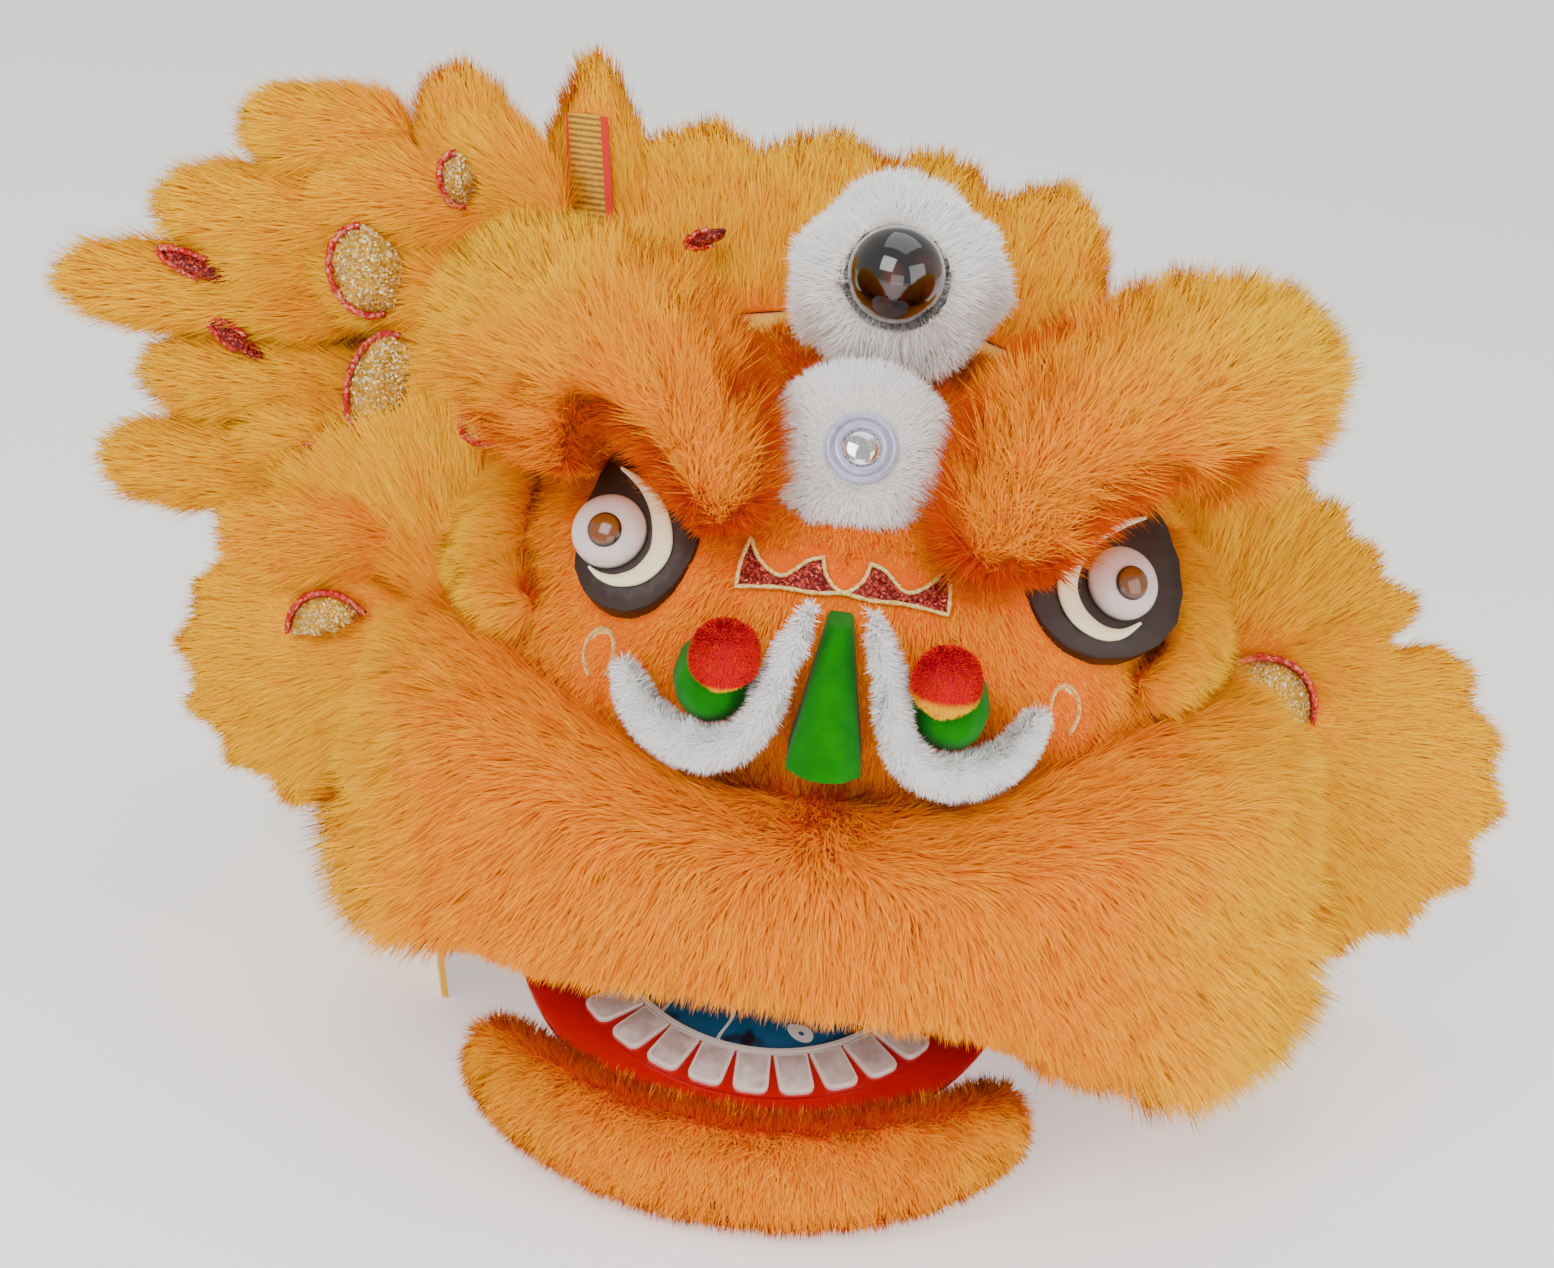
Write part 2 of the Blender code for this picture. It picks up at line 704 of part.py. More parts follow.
def band(name, frame, rows, base, thick, slot, steps=2, laid=False):
    """Flat band of changing width over a frame, or laid on the shell."""
    place = frame.lay if laid else frame.flat
    path = smooth_path(rows, steps)
    bm = bmesh.new()
    rings = []
    for index, (a, b, width) in enumerate(path):
        after = path[min(index + 1, len(path) - 1)]
        before = path[max(index - 1, 0)]
        along = Vector((after[0] - before[0], after[1] - before[1])).normalized()
        cross = Vector((-along.y, along.x)) * width / 2
        ring = []
        for edge, height in ((1, base), (1, base + thick * 0.7), (0, base + thick), (-1, base + thick * 0.7),
                             (-1, base)):
            ring.append(bm.verts.new(place(a + cross.x * edge, b + cross.y * edge, height)))
        rings.append(ring)
    count = 5
    for low, high in zip(rings, rings[1:]):
        for step in range(count):
            after = (step + 1) % count
            bm.faces.new((low[step], low[after], high[after], high[step]))
    bm.faces.new(rings[0])
    bm.faces.new(rings[-1][::-1])
    return to_object(name, bm, slot, 50.0)


def circle(radius, count):
    points = []
    for step in range(count):
        angle = 2 * math.pi * step / count
        points.append((radius * math.cos(angle), radius * math.sin(angle)))
    return points


def lathe(name, profile, around, slot, place, normal, smooth=40.0):
    """Turned body about a normal through a place: rows of radius, height. A ring if it never meets the axis."""
    bm = bmesh.new()
    turn = Vector((0, 0, 1)).rotation_difference(Vector(normal)).to_matrix()
    rings = []
    for radius, height in profile:
        if radius < 1e-6:
            rings.append([bm.verts.new(turn @ Vector((0, 0, height)))])
            continue
        ring = []
        for step in range(around):
            angle = 2 * math.pi * step / around
            spot = Vector((radius * math.cos(angle), radius * math.sin(angle), height))
            ring.append(bm.verts.new(turn @ spot))
        rings.append(ring)
    pairs = list(zip(rings, rings[1:]))
    if len(rings[0]) > 1:
        pairs.append((rings[-1], rings[0]))
    for low, high in pairs:
        for step in range(around):
            after = (step + 1) % around
            if len(low) == 1:
                bm.faces.new((low[0], high[step], high[after]))
            elif len(high) == 1:
                bm.faces.new((low[step], high[0], low[after]))
            else:
                bm.faces.new((low[step], high[step], high[after], low[after]))
    obj = to_object(name, bm, slot, smooth)
    obj.location = place
    return obj


# Face

def make_eyes(tree):
    sockets = {}
    for side, word, across, height, wide, out in EYES:
        frame = Facing(tree, side * across, height, 1, 0.25)

        def flip(rows, swell=1.0):
            return [(side * row[0] * swell,) + tuple(row[1:]) for row in rows]

        outline = flip(EYE_OUTLINE, wide)
        plate = prism("eye_plate_" + word, [frame.flat(a, b, -SINK * 1.5) for a, b in outline],
                      [frame.flat(a, b, EYE_PLATE) for a, b in outline], "dark_eye")
        layer = EYE_PLATE + LAYER
        band("eye_swirl_" + word, frame, flip(EYE_SWIRL, wide), layer, SWIRL_THICK, "cream_paint")
        centre = (side * out, EYEBALL_LIFT)

        def dome(a, b, extra=0.0):
            far = math.hypot(a - centre[0], b - centre[1]) / EYEBALL_RADIUS
            return layer + 0.003 + EYEBALL_DOME * math.sqrt(max(0.0, 1.0 - far * far)) + extra

        applique("eyeball_" + word, frame, circle(EYEBALL_RADIUS, 14), (0.5, 0.85, 1.0),
                 lambda a, b, s: layer, lambda a, b, s: dome(a, b), "eyeball_white", centre)
        sight = (centre[0] - side * 0.002, centre[1] - 0.003)
        applique("pupil_" + word, frame, circle(PUPIL_RADIUS, 10), (0.6, 1.0),
                 lambda a, b, s: dome(a, b, LAYER),
                 lambda a, b, s: dome(a, b, LAYER + 0.0008 + PUPIL_DOME * math.sqrt(max(0.0, 1 - s * s))),
                 "pupil_brown", sight)
        grown = flip(EYE_OUTLINE, wide)
        grow = 1.03
        socket = prism("eye_socket_" + word, [frame.flat(a * grow, b * grow, -SINK * 2) for a, b in grown],
                       [frame.flat(a * grow * 1.06, b * grow * 1.06, 0.085) for a, b in grown])
        sockets[word] = hide(socket)
        sockets["plate_" + word] = plate
    return sockets


def keep_off(bm, place, axis, radius):
    """Move what is inside a round post out to its wall."""
    for vert in bm.verts:
        from_place = vert.co - place
        away = from_place - axis * from_place.dot(axis)
        if away.length < radius:
            vert.co += away.normalized() * (radius - away.length)


def make_brows(tree, form, sockets):
    mirror = Facing(tree, 0.0, MIRROR_UP, 1, 0.45)
    post = (mirror.centre, mirror.normal, MIRROR_FUR_RADIUS + 0.009)
    for side, word, stations in ((-1, "left", BROW_LEFT), (1, "right", BROW_RIGHT)):
        brow = roll("brow_" + word, smooth_path(stations, 2), BROW_AROUND, "orange_fur", tree, BROW_LOCK,
                    (side * 0.3, -0.1, 0.3), 0.95, post=post)
        cut(brow, form)
        cut(brow, sockets[word])


def make_horn(tree, form):
    bm = bmesh.new()
    bmesh.ops.create_icosphere(bm, subdivisions=3, radius=HORN_RADIUS)
    tips = []
    for vert in bm.verts:
        lower = max(0.0, -vert.co.z / HORN_RADIUS)
        vert.co.x *= 1.0 - 0.25 * lower
        vert.co += Vector(HORN_CENTRE)
        tips.append(vert)
    for index, vert in enumerate(tips):
        if index % 3 == 0:
            away = (vert.co - Vector(HORN_CENTRE)).normalized()
            vert.co += away * HORN_LOCK
    fur = to_object("horn_fur", bm, "white_fur", 30.0)
    cut(fur, form)
    profile = []
    for step in range(8):
        angle = math.pi * step / 7
        profile.append((HORN_BALL_RADIUS * math.sin(angle), -HORN_BALL_RADIUS * math.cos(angle)))
    lathe("horn_ball", profile, 14, "black_gloss", HORN_BALL, (0, -0.5, 0.8))
    grown = [(radius * 1.02 if radius > 1e-6 else 0.0, height * 1.02) for radius, height in profile]
    socket = lathe("horn_socket_cutter", grown, 14, "black_gloss", HORN_BALL, (0, -0.5, 0.8))
    socket.hide_render = True
    socket.display_type = "WIRE"
    cut(fur, socket)


def make_mirror(tree, form):
    frame = Facing(tree, 0.0, MIRROR_UP, 1, 0.45)

    def fur_height(a, b, share):
        fall = max(0.0, 1 - max(0.0, share - MIRROR_FUR_FLAT) ** 3 * 5.6)
        return EDGE * 1.5 + (MIRROR_FUR_DEPTH - EDGE * 1.5) * math.sqrt(fall)

    fur = applique("mirror_fur", frame, circle(MIRROR_FUR_RADIUS, 16), (MIRROR_FUR_FLAT, 0.75, 1.0),
                   lambda a, b, s: -SINK * 2.5, fur_height, "white_fur", lock=MIRROR_LOCK,
                   locked=MIRROR_FUR_FLAT, smooth=30.0)
    cut(fur, form)
    seat_at = frame.flat(0.0, 0.0, MIRROR_FUR_DEPTH + SEAT)
    rim = MIRROR_RIM_THICK
    outside = MIRROR_RIM_RADIUS
    inside = MIRROR_GLASS_RADIUS
    profile = ((inside, 0.0), (outside, 0.0), (outside, rim * 0.6), (outside * 0.93, rim),
               (inside * 1.1, rim), (inside, rim * 0.8))
    lathe("mirror_rim", profile, 14, "mirror_rim", seat_at, frame.normal)
    glass = MIRROR_GLASS_RADIUS - 0.0005
    profile = ((0.0, 0.0), (glass, 0.0), (glass, rim * 0.5), (glass * 0.7, rim * 0.9), (0.0, rim))
    lathe("mirror_glass", profile, 12, "mirror_glass", seat_at, frame.normal)


def bridge(name, tree, grow):
    front = []
    back = []
    for row in range(4):
        t = row / 3
        half = NOSE_BOTTOM_HALF_WIDTH + (NOSE_TOP_HALF_WIDTH - NOSE_BOTTOM_HALF_WIDTH) * t + grow
        depth = NOSE_BOTTOM_DEPTH + (NOSE_TOP_DEPTH - NOSE_BOTTOM_DEPTH) * t + grow
        height = NOSE_BOTTOM_UP + (NOSE_TOP_UP - NOSE_BOTTOM_UP) * t + grow * (2 * t - 1)
        front_row = []
        back_row = []
        for column in range(5):
            u = column / 2 - 1.0
            start = Vector((u * half, -0.5, height))
            hit, _, _, _ = tree.ray_cast(start, Vector((0, 1, 0)))
            bulge = depth * (0.78 + 0.22 * math.sqrt(max(0.0, 1 - u * u)))
            back_row.append(hit + Vector((0, SINK, 0)))
            front_row.append(hit - Vector((0, bulge, 0)))
        front.append(front_row)
        back.append(back_row)
    return slab(name, front, back, "green_felt", smooth=60.0)


def make_nose(tree, form):
    cut(bridge("nose_bridge", tree, 0.0), form)
    bridge_cutter = hide(bridge("bridge_cutter", tree, SEAT * 1.5))
    for side, word in ((-1, "left"), (1, "right")):
        frame = Facing(tree, side * NOSTRIL_ACROSS, NOSTRIL_UP, 1, 0.9)

        def mound(a, b, share):
            return 0.008 + (NOSTRIL_DEPTH - 0.008) * math.sqrt(max(0.0, 1 - share ** 2.2))

        nostril = applique("nostril_" + word, frame, circle(NOSTRIL_RADIUS, 12), (0.5, 0.85, 1.0),
                           lambda a, b, s: -SINK, mound, "green_felt", smooth=60.0)
        cut(nostril, form)
        grown = applique("nostril_cutter_" + word, frame, circle(NOSTRIL_RADIUS + SEAT, 12), (0.5, 0.85, 1.0),
                         lambda a, b, s: -SINK, lambda a, b, s: mound(a, b, s) + SEAT, "green_felt")
        hide(grown)
        rows = [(side * x, y, z, r) for x, y, z, r in TRIM_STATIONS]
        trim = roll("nose_trim_" + word, rows, 7, "white_fur", tree, TRIM_LOCK)
        cut(trim, form)
        cut(trim, grown)
        cut(trim, bridge_cutter)
        bm = bmesh.new()
        bmesh.ops.create_icosphere(bm, subdivisions=2, radius=POMPOM_RADIUS)
        for index, vert in enumerate(bm.verts):
            if index % 3 == 0:
                vert.co *= 1.08
        ball = to_object("nose_pompom_" + word, bm, "red_pompom", 30.0)
        ball.location = (side * POMPOM_PLACE[0], POMPOM_PLACE[1], POMPOM_PLACE[2])
        cut(ball, grown)


def make_ornament(tree, form):
    frame = Facing(tree, 0.0, ORNAMENT_UP, 1, 0.5)
    rows = [(-a, b, w) for a, b, w in ORNAMENT_BAND] + [(a, b, w) for a, b, w in reversed(ORNAMENT_BAND)]
    shapes = (("nose_ornament", "maroon_glitter", lambda b, w: (b - w / 2, b, b + w / 2), 1.0),
              ("ornament_cord", "gold_cord",
               lambda b, w: (b + w / 2 + 0.0005, b + w / 2 + ORNAMENT_CORD, b + w / 2 + 2 * ORNAMENT_CORD),
               1.1))
    for name, slot, levels, rise in shapes:
        front = []
        back = []
        for edge in range(3):
            front_row = []
            back_row = []
            for a, b, width in rows:
                lift = ORNAMENT_THICK * rise * (1.0 if edge == 1 else 0.8)
                front_row.append(frame.lay(a, levels(b, width)[edge], lift))
                back_row.append(frame.lay(a, levels(b, width)[edge], -0.004))
            front.append(front_row)
            back.append(back_row)
        cut(slab(name, front, back, slot), form)


def make_cheek_cords(tree, form):
    for side, word in ((-1, "left"), (1, "right")):
        frame = Facing(tree, side * CHEEK_CORD_ACROSS, CHEEK_CORD_UP, 1, 0.3)
        rows = []
        for step in range(8):
            angle = math.radians(-70 + 300 * step / 7)
            across = side * CHEEK_CORD_HALF_WIDTH * math.cos(angle)
            rows.append((across, CHEEK_CORD_HALF_HEIGHT * math.sin(angle), CHEEK_CORD_WIDTH))
        cord = band("cheek_cord_" + word, frame, rows, -0.003, CHEEK_CORD_DEPTH, "gold_cord", 1, True)
        cut(cord, form)


# Ears, temples and mane

def fan(name, side, reach_table, pleats, radial, slot, lift=0.0, grow=1.0, swell=0.0):
    root = Vector((side * EAR_ROOT[0], EAR_ROOT[1] + lift, EAR_ROOT[2]))
    first = reach_table[0][0]
    last = reach_table[-1][0]
    front = []
    back = []
    count = pleats * 2
    beyond = 1 if swell else 0
    for ring in range(radial + 1):
        s = ring / radial
        front_row = []
        back_row = []
        for step in range(-beyond, count + 1 + beyond):
            inside = min(max(step, 0), count)
            angle = first + (last - first) * inside / count
            reach = blend_table(reach_table, angle)[0]
            angle += EAR_CUTTER_SPARE * (step - inside)
            ridge = inside % 2
            reach = reach * grow * (1.0 if ridge else 0.94)
            r = EAR_INNER + (reach - EAR_INNER) * s
            x = side * r * math.cos(math.radians(angle))
            z = r * math.sin(math.radians(angle))
            back_y = EAR_SWEEP * (r - EAR_INNER) * (1 - 0.3 * s)
            thick = EAR_THICK * (1.0 - 0.62 * s ** 2) + swell
            pleat = EAR_PLEAT * ridge * math.sin(math.pi * min(s * 0.8 + 0.15, 1.0))
            front_row.append(root + Vector((x, back_y - thick - pleat, z)))
            back_row.append(root + Vector((x, back_y + swell * EAR_CUTTER_DEPTH, z)))
        front.append(front_row)
        back.append(back_row)
    return slab(name, front, back, slot, smooth=30.0)


def make_ears(form):
    fans = {}
    temples = {}
    for side, word in ((-1, "left"), (1, "right")):
        grow = LEFT_EAR_SHARE if side < 0 else 1.0
        cut(fan("ear_fur_" + word, side, EAR_REACH, 8, 4, "yellow_fur", 0.0, grow), form)
        fans[word] = hide(fan("ear_cutter_" + word, side, EAR_REACH, 8, 4, "yellow_fur", 0.0, grow, SEAT))
        cut(fan("temple_fur_" + word, side, TEMPLE_REACH, 5, 3, "yellow_fur", TEMPLE_LIFT), form)
        temples[word] = fan("temple_cutter_" + word, side, TEMPLE_REACH, 5, 3, "yellow_fur", TEMPLE_LIFT, 1.0,
                            SEAT)
        hide(temples[word])
    for side, word, across, forward, height, radius in EAR_PANELS:
        root = Vector((side * across, forward, height))
        wide = EAR_TRIM / radius
        shapes = (("ear_panel_", "gold_glitter", (0.16, 0.6, 1.0), 7, EAR_PANEL_THICK),
                  ("ear_trim_", "red_trim", (1.03, 1.03 + 0.5 * wide, 1.03 + wide), 7, EAR_TRIM))
        for kind, slot, rings, columns, thick in shapes:
            front = []
            back = []
            for number, ring in enumerate(rings):
                front_row = []
                back_row = []
                for step in range(columns + 1):
                    angle = math.radians(-10 + 150 * step / columns)
                    scallop = 0.0008 * (step % 2) if slot == "red_trim" and number == 2 else 0.0
                    r = radius * ring + scallop
                    x = side * r * math.cos(angle)
                    z = r * math.sin(angle)
                    y = 0.22 * side * x - 0.004 * (1 - min(ring, 1.0))
                    sink = EAR_PANEL_SINK if kind == "ear_panel_" else thick / 2
                    back_row.append(root + Vector((x, y + sink, z)))
                    front_row.append(root + Vector((x, y - thick / 2 - (0.001 if number == 1 else 0.0), z)))
                front.append(front_row)
                back.append(back_row)
            disc = slab(kind + word, front, back, slot, smooth=60.0)
            cut(disc, form)
            cut(disc, fans[word])
            cut(disc, temples[word])


def petal(name, row, tree, comb):
    tip = Vector(row[0:3])
    base = Vector(row[3:6])
    radius = row[6]
    rows = []
    for share, grow in ((0.0, 0.62), (0.14, 0.90), (0.36, 1.0), (0.6, 1.0), (0.84, 0.94), (1.0, 0.6)):
        point = tip.lerp(base, share)
        rows.append((point.x, point.y, point.z, radius * grow))
    return roll(name, rows, MANE_AROUND, "yellow_fur", tree, MANE_LOCK, comb, 0.8)


def panel(name, ahead, behind, grow=0.0):
    front = []
    back = []
    for row in range(4):
        t = row / 3
        front_row = []
        back_row = []
        for column in range(8):
            u = column / 7
            low, high = blend_table(PANEL_TABLE, u)
            x = PANEL_ROOT + (PANEL_TIP - PANEL_ROOT) * u + grow * (2.0 * u - 1.0)
            z = low + (high - low) * t + grow * (2.0 * t - 1.0)
            y = panel_forward(x, z)
            front_row.append(Vector((-x, y - ahead, z)))
            back_row.append(Vector((-x, y + behind, z)))
        front.append(front_row)
        back.append(back_row)
    return slab(name, front, back, "gold_glitter", smooth=60.0)


def make_crest(tree, form):
    front = []
    back = []
    for row in range(4):
        t = row / 3
        front_row = []
        back_row = []
        for x, top in CREST_TOPS:
            hit, _, _, _ = tree.ray_cast(Vector((x, CREST_FOOT_FORWARD, 0.6)), Vector((0, 0, -1)))
            foot = hit.z - 0.010 if hit is not None and abs(x) < 0.150 else 0.345
            z = foot + (top - foot) * t
            middle = CREST_FOOT_FORWARD + (CREST_TOP_FORWARD - CREST_FOOT_FORWARD) * t
            thick = CREST_THICK * (1.0 - 0.75 * t ** 2.5)
            front_row.append(Vector((x, middle - thick / 2, z + 0.008 * (1 - t))))
            back_row.append(Vector((x, middle + thick / 2, z)))
        front.append(front_row)
        back.append(back_row)
    cut(slab("crest_fur", front, back, "yellow_fur", CREST_LOCK, (0, -0.1, 0.5), 30.0), form)


def make_strip():
    cut(bpy.data.objects["crest_fur"], hide(strip("strip_cutter", SEAT)))
    strip("spine_strip", 0.0)


def strip(name, grow):
    front = []
    back = []
    for row in range(5):
        t = row / 4
        z = STRIP_LOW + (STRIP_HIGH - STRIP_LOW) * t
        share = (z - 0.335) / (0.47 - 0.335)
        middle = CREST_FOOT_FORWARD + (CREST_TOP_FORWARD - CREST_FOOT_FORWARD) * share
        y = middle - CREST_THICK * (1.0 - 0.75 * share ** 2.5) / 2 - CREST_LOCK * 1.3
        front_row = []
        back_row = []
        for column in range(3):
            x = STRIP_ACROSS + STRIP_LEAN * (0.5 - t) + (STRIP_WIDTH + 2 * grow) * (column / 2 - 0.5)
            high = z + grow * (2.0 * t - 1.0)
            front_row.append(Vector((x, y - STRIP_THICK - 50 * grow, high)))
            back_row.append(Vector((x, y + grow, high)))
        front.append(front_row)
        back.append(back_row)
    return slab(name, front, back, "gold_glitter")


def make_petal_edges():
    for number, (x, z, radius, turn) in enumerate(PETAL_EDGES):
        rows = []
        for step in range(6):
            angle = math.radians(-70 + turn + 140 * step / 5)
            across = x + radius * math.cos(angle)
            up = z + radius * math.sin(angle)
            thick = PETAL_EDGE_RADIUS * (1.3 if step % 2 else 0.9)
            rows.append((across, panel_forward(across, up) - PETAL_EDGE_RADIUS * 1.3 - 2 * SEAT, up, thick))
        roll("petal_edge_%d" % (number + 1), rows, 5, "red_trim", None, 0, up=(0, 1, 0))


def panel_forward(across, up):
    """Forward place of the cloth's front face."""
    u = min(max((abs(across) - PANEL_ROOT) / (PANEL_TIP - PANEL_ROOT), 0.0), 1.0)
    low, high = blend_table(PANEL_TABLE, u)
    t = min(max((up - low) / (high - low), 0.0), 1.0)
    along = PANEL_FORWARD_ROOT + (PANEL_FORWARD_TIP - PANEL_FORWARD_ROOT) * u
    return along + PANEL_BELLY * math.sin(math.pi * t)


def make_mane(tree, form):
    cut(panel("mane_panel_left", 0.0, PANEL_WALL), form)
    backing = hide(panel("panel_cutter", SEAT, 0.06, SEAT * 1.5))
    for number, row in enumerate(MANE_LEFT):
        cut(petal("mane_petal_left_%d" % (number + 1), row, tree, (-0.4, -0.2, -0.1)), backing)
    for number, row in enumerate(MANE_RIGHT):
        cut(petal("mane_petal_right_%d" % (number + 1), row, tree, (0.1, 0.5, -0.1)), form)
    make_crest(tree, form)
    make_strip()
    make_petal_edges()
    cut(pad("back_fur", BACK_TABLE, 10, 5, BACK_DEPTH, "yellow_fur", tree, 0.006, (0, 0.1, -0.6)), form)


# Jaw

def jaw_empty():
    empty = bpy.data.objects.new("jaw_hinge", None)
    bpy.context.scene.collection.objects.link(empty)
    empty.location = (0.0, HINGE_FORWARD, HINGE_UP)
    return empty


def jaw_point(x, along, height):
    """World point from a place in the jaw plane: across, distance behind the front edge, height above it."""
    slope = math.radians(JAW_SLOPE)
    y = JAW_FRONT + along * math.cos(slope) - height * math.sin(slope)
    z = JAW_FRONT_UP + along * math.sin(slope) + height * math.cos(slope)
    return Vector((JAW_SHIFT + x, y, z))


def jaw_arc(radius, degrees, height):
    angle = math.radians(degrees)
    return jaw_point(radius * math.sin(angle), JAW_RADIUS - radius * math.cos(angle), height)


def jaw_outline(radius, length, height, count):
    points = []
    for step in range(count + 1):
        points.append(jaw_arc(radius, -90 + 180 * step / count, height))
    rear = radius * 0.94
    points.append(jaw_point(rear, length, height))
    points.append(jaw_point(-rear, length, height))
    return points


def make_jaw(tree):
    empty = jaw_empty()
    parts = []
    parts.append(prism("jaw_board", jaw_outline(JAW_RADIUS, JAW_LENGTH, -JAW_THICK, 22),
                                 jaw_outline(JAW_RADIUS, JAW_LENGTH, 0.0, 22), "jaw_red"))
    base = 0.0004
    parts.append(prism("jaw_floor", jaw_outline(FLOOR_RADIUS, JAW_LENGTH - 0.006, base, 18),
                                 jaw_outline(FLOOR_RADIUS, JAW_LENGTH - 0.006, base + FLOOR_THICK, 18),
                                 "mouth_blue"))
    front = []
    back = []
    shares = ((0.0, 0), (0.07, 1), (0.5, 1), (0.93, 1))
    for number, radius in enumerate((TEETH_INNER, TEETH_OUTER - 0.003, TEETH_OUTER)):
        front_row = []
        back_row = []
        lift = 0.0 if number == 2 else 1.0
        for tooth in range(TEETH):
            for share, raised in shares:
                angle = -TEETH_SPAN + 2 * TEETH_SPAN * (tooth + share) / TEETH
                height = GUM_THICK + (TEETH_THICK - GUM_THICK) * raised * (0.35 + 0.65 * lift)
                front_row.append(jaw_arc(radius, angle, base + height))
                back_row.append(jaw_arc(radius, angle, base))
        front_row.append(jaw_arc(radius, TEETH_SPAN, base + GUM_THICK))
        back_row.append(jaw_arc(radius, TEETH_SPAN, base))
        front.append(front_row)
        back.append(back_row)
    parts.append(slab("jaw_teeth", front, back, "teeth_white"))
    rows = []
    for degrees, radius, drop in JAW_FUR_TABLE:
        point = jaw_arc(JAW_FUR_REACH, degrees, -drop)
        rows.append((point.x, point.y, point.z, radius))
    fur = roll("jaw_fur", rows, 9, "orange_fur", tree, 0.004, (0, -0.3, 0.1), 0.95)
    grown = JAW_RADIUS + SEAT
    cut(fur, hide(prism("board_cutter", jaw_outline(grown, JAW_LENGTH, -JAW_THICK - SEAT, 22),
                        jaw_outline(grown, JAW_LENGTH, 0.05, 22))))
    parts.append(fur)
    for side, word in ((-1, "left"), (1, "right")):
        wall = tree.ray_cast(Vector((0, HINGE_FORWARD, HINGE_UP)), Vector((side, 0, 0)))[0].x
        hinge = Vector((wall - side * (SHELL_WALL + HINGE_GAP + ARM_THICK / 2), HINGE_FORWARD, HINGE_UP))
        start = jaw_point(side * 0.118, JAW_LENGTH - 0.022, -JAW_THICK - 0.0004 - ARM_THICK / 2)
        middle = jaw_point(side * ARM_ACROSS, JAW_LENGTH + 0.004, -JAW_THICK - 0.0004 - ARM_THICK / 2)
        parts.append(arm("jaw_arm_" + word, (start, middle, hinge), side))
    for obj in parts:
        obj.data.transform(Matrix.Translation(-empty.location))
        obj.parent = empty


def arm(name, points, side):
    bm = bmesh.new()
    rings = []
    for index, point in enumerate(points):
        flat = index < 2
        ring = []
        for a, b in ((-0.5, -0.5), (0.5, -0.5), (0.5, 0.5), (-0.5, 0.5)):
            if flat:
                offset = Vector((a * ARM_WIDTH, 0, 0)) + (jaw_point(0, 0, b * ARM_THICK) - jaw_point(0, 0, 0))
            else:
                offset = Vector((a * ARM_THICK, 0, b * ARM_WIDTH))
            ring.append(bm.verts.new(point + offset))
        rings.append(ring)
    for degrees in ARM_EYE:
        turn = math.radians(degrees)
        ring = []
        for a, b in ((-0.5, -0.5), (0.5, -0.5), (0.5, 0.5), (-0.5, 0.5)):
            offset = Vector((a * ARM_THICK, ARM_WIDTH / 2 * math.sin(turn), b * ARM_WIDTH * math.cos(turn)))
            ring.append(bm.verts.new(points[-1] + offset))
        rings.append(ring)
    for low, high in zip(rings, rings[1:]):
        for step in range(4):
            after = (step + 1) % 4
            bm.faces.new((low[step], low[after], high[after], high[step]))
    bm.faces.new(rings[0])
    bm.faces.new(rings[-1][::-1])
    return to_object(name, bm, "bamboo")


def build():
    clear_scene()
    tree = outer_form()
    form = form_cutter()
    make_shell()
    lip = pad("lip_fur", LIP_TABLE, 23, 5, LIP_DEPTH, "orange_fur", tree, LIP_LOCK, (0, -0.1, -0.5),
              LIP_SHIFT * 180)
    cut(lip, form)
    sockets = make_eyes(tree)
    for side, word in ((-1, "left"), (1, "right")):
        cheek = pad("cheek_fur_" + word, CHEEK_TABLE, 6, 3, CHEEK_DEPTH, "orange_fur", tree, CHEEK_LOCK,
                    (0, 0, -0.3), 0, side)
        cut(cheek, form)
        cut(cheek, sockets[word])
        cut(sockets["plate_" + word], form)
    make_brows(tree, form, sockets)
    make_horn(tree, form)
    make_mirror(tree, form)
    make_nose(tree, form)
    make_ornament(tree, form)
    make_cheek_cords(tree, form)
    make_ears(form)
    make_mane(tree, form)
    make_jaw(tree)


build()
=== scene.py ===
"""Looks of a lion dance head: fur, painted eyes, lacquered jaw, felt nose, glitter cloth and cords."""

import math

import bmesh
import bpy
import numpy as np
from mathutils import Matrix, Vector
from mathutils.bvhtree import BVHTree


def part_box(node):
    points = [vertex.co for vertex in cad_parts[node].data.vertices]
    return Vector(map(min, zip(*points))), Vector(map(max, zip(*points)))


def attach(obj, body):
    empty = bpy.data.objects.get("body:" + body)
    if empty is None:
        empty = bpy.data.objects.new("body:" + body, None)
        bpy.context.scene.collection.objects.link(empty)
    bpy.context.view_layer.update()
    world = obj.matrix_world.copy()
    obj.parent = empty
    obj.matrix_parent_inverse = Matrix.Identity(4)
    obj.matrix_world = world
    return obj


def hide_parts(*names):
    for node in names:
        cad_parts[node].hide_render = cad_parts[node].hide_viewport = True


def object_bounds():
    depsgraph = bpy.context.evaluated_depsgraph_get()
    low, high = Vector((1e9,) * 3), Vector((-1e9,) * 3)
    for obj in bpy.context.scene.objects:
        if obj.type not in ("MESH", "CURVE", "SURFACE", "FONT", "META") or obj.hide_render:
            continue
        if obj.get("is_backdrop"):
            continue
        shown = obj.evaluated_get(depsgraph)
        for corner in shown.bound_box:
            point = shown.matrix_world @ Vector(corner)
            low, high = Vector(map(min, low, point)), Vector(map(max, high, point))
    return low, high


bl_info = {
    "name": "Lion dance head",
    "version": (1, 0, 0),
    "blender": (4, 5, 0),
    "location": "View3D > Sidebar > Lion head",
    "description": "Fur, paint, cloth and lacquer for a lion dance head",
    "category": "Object",
}

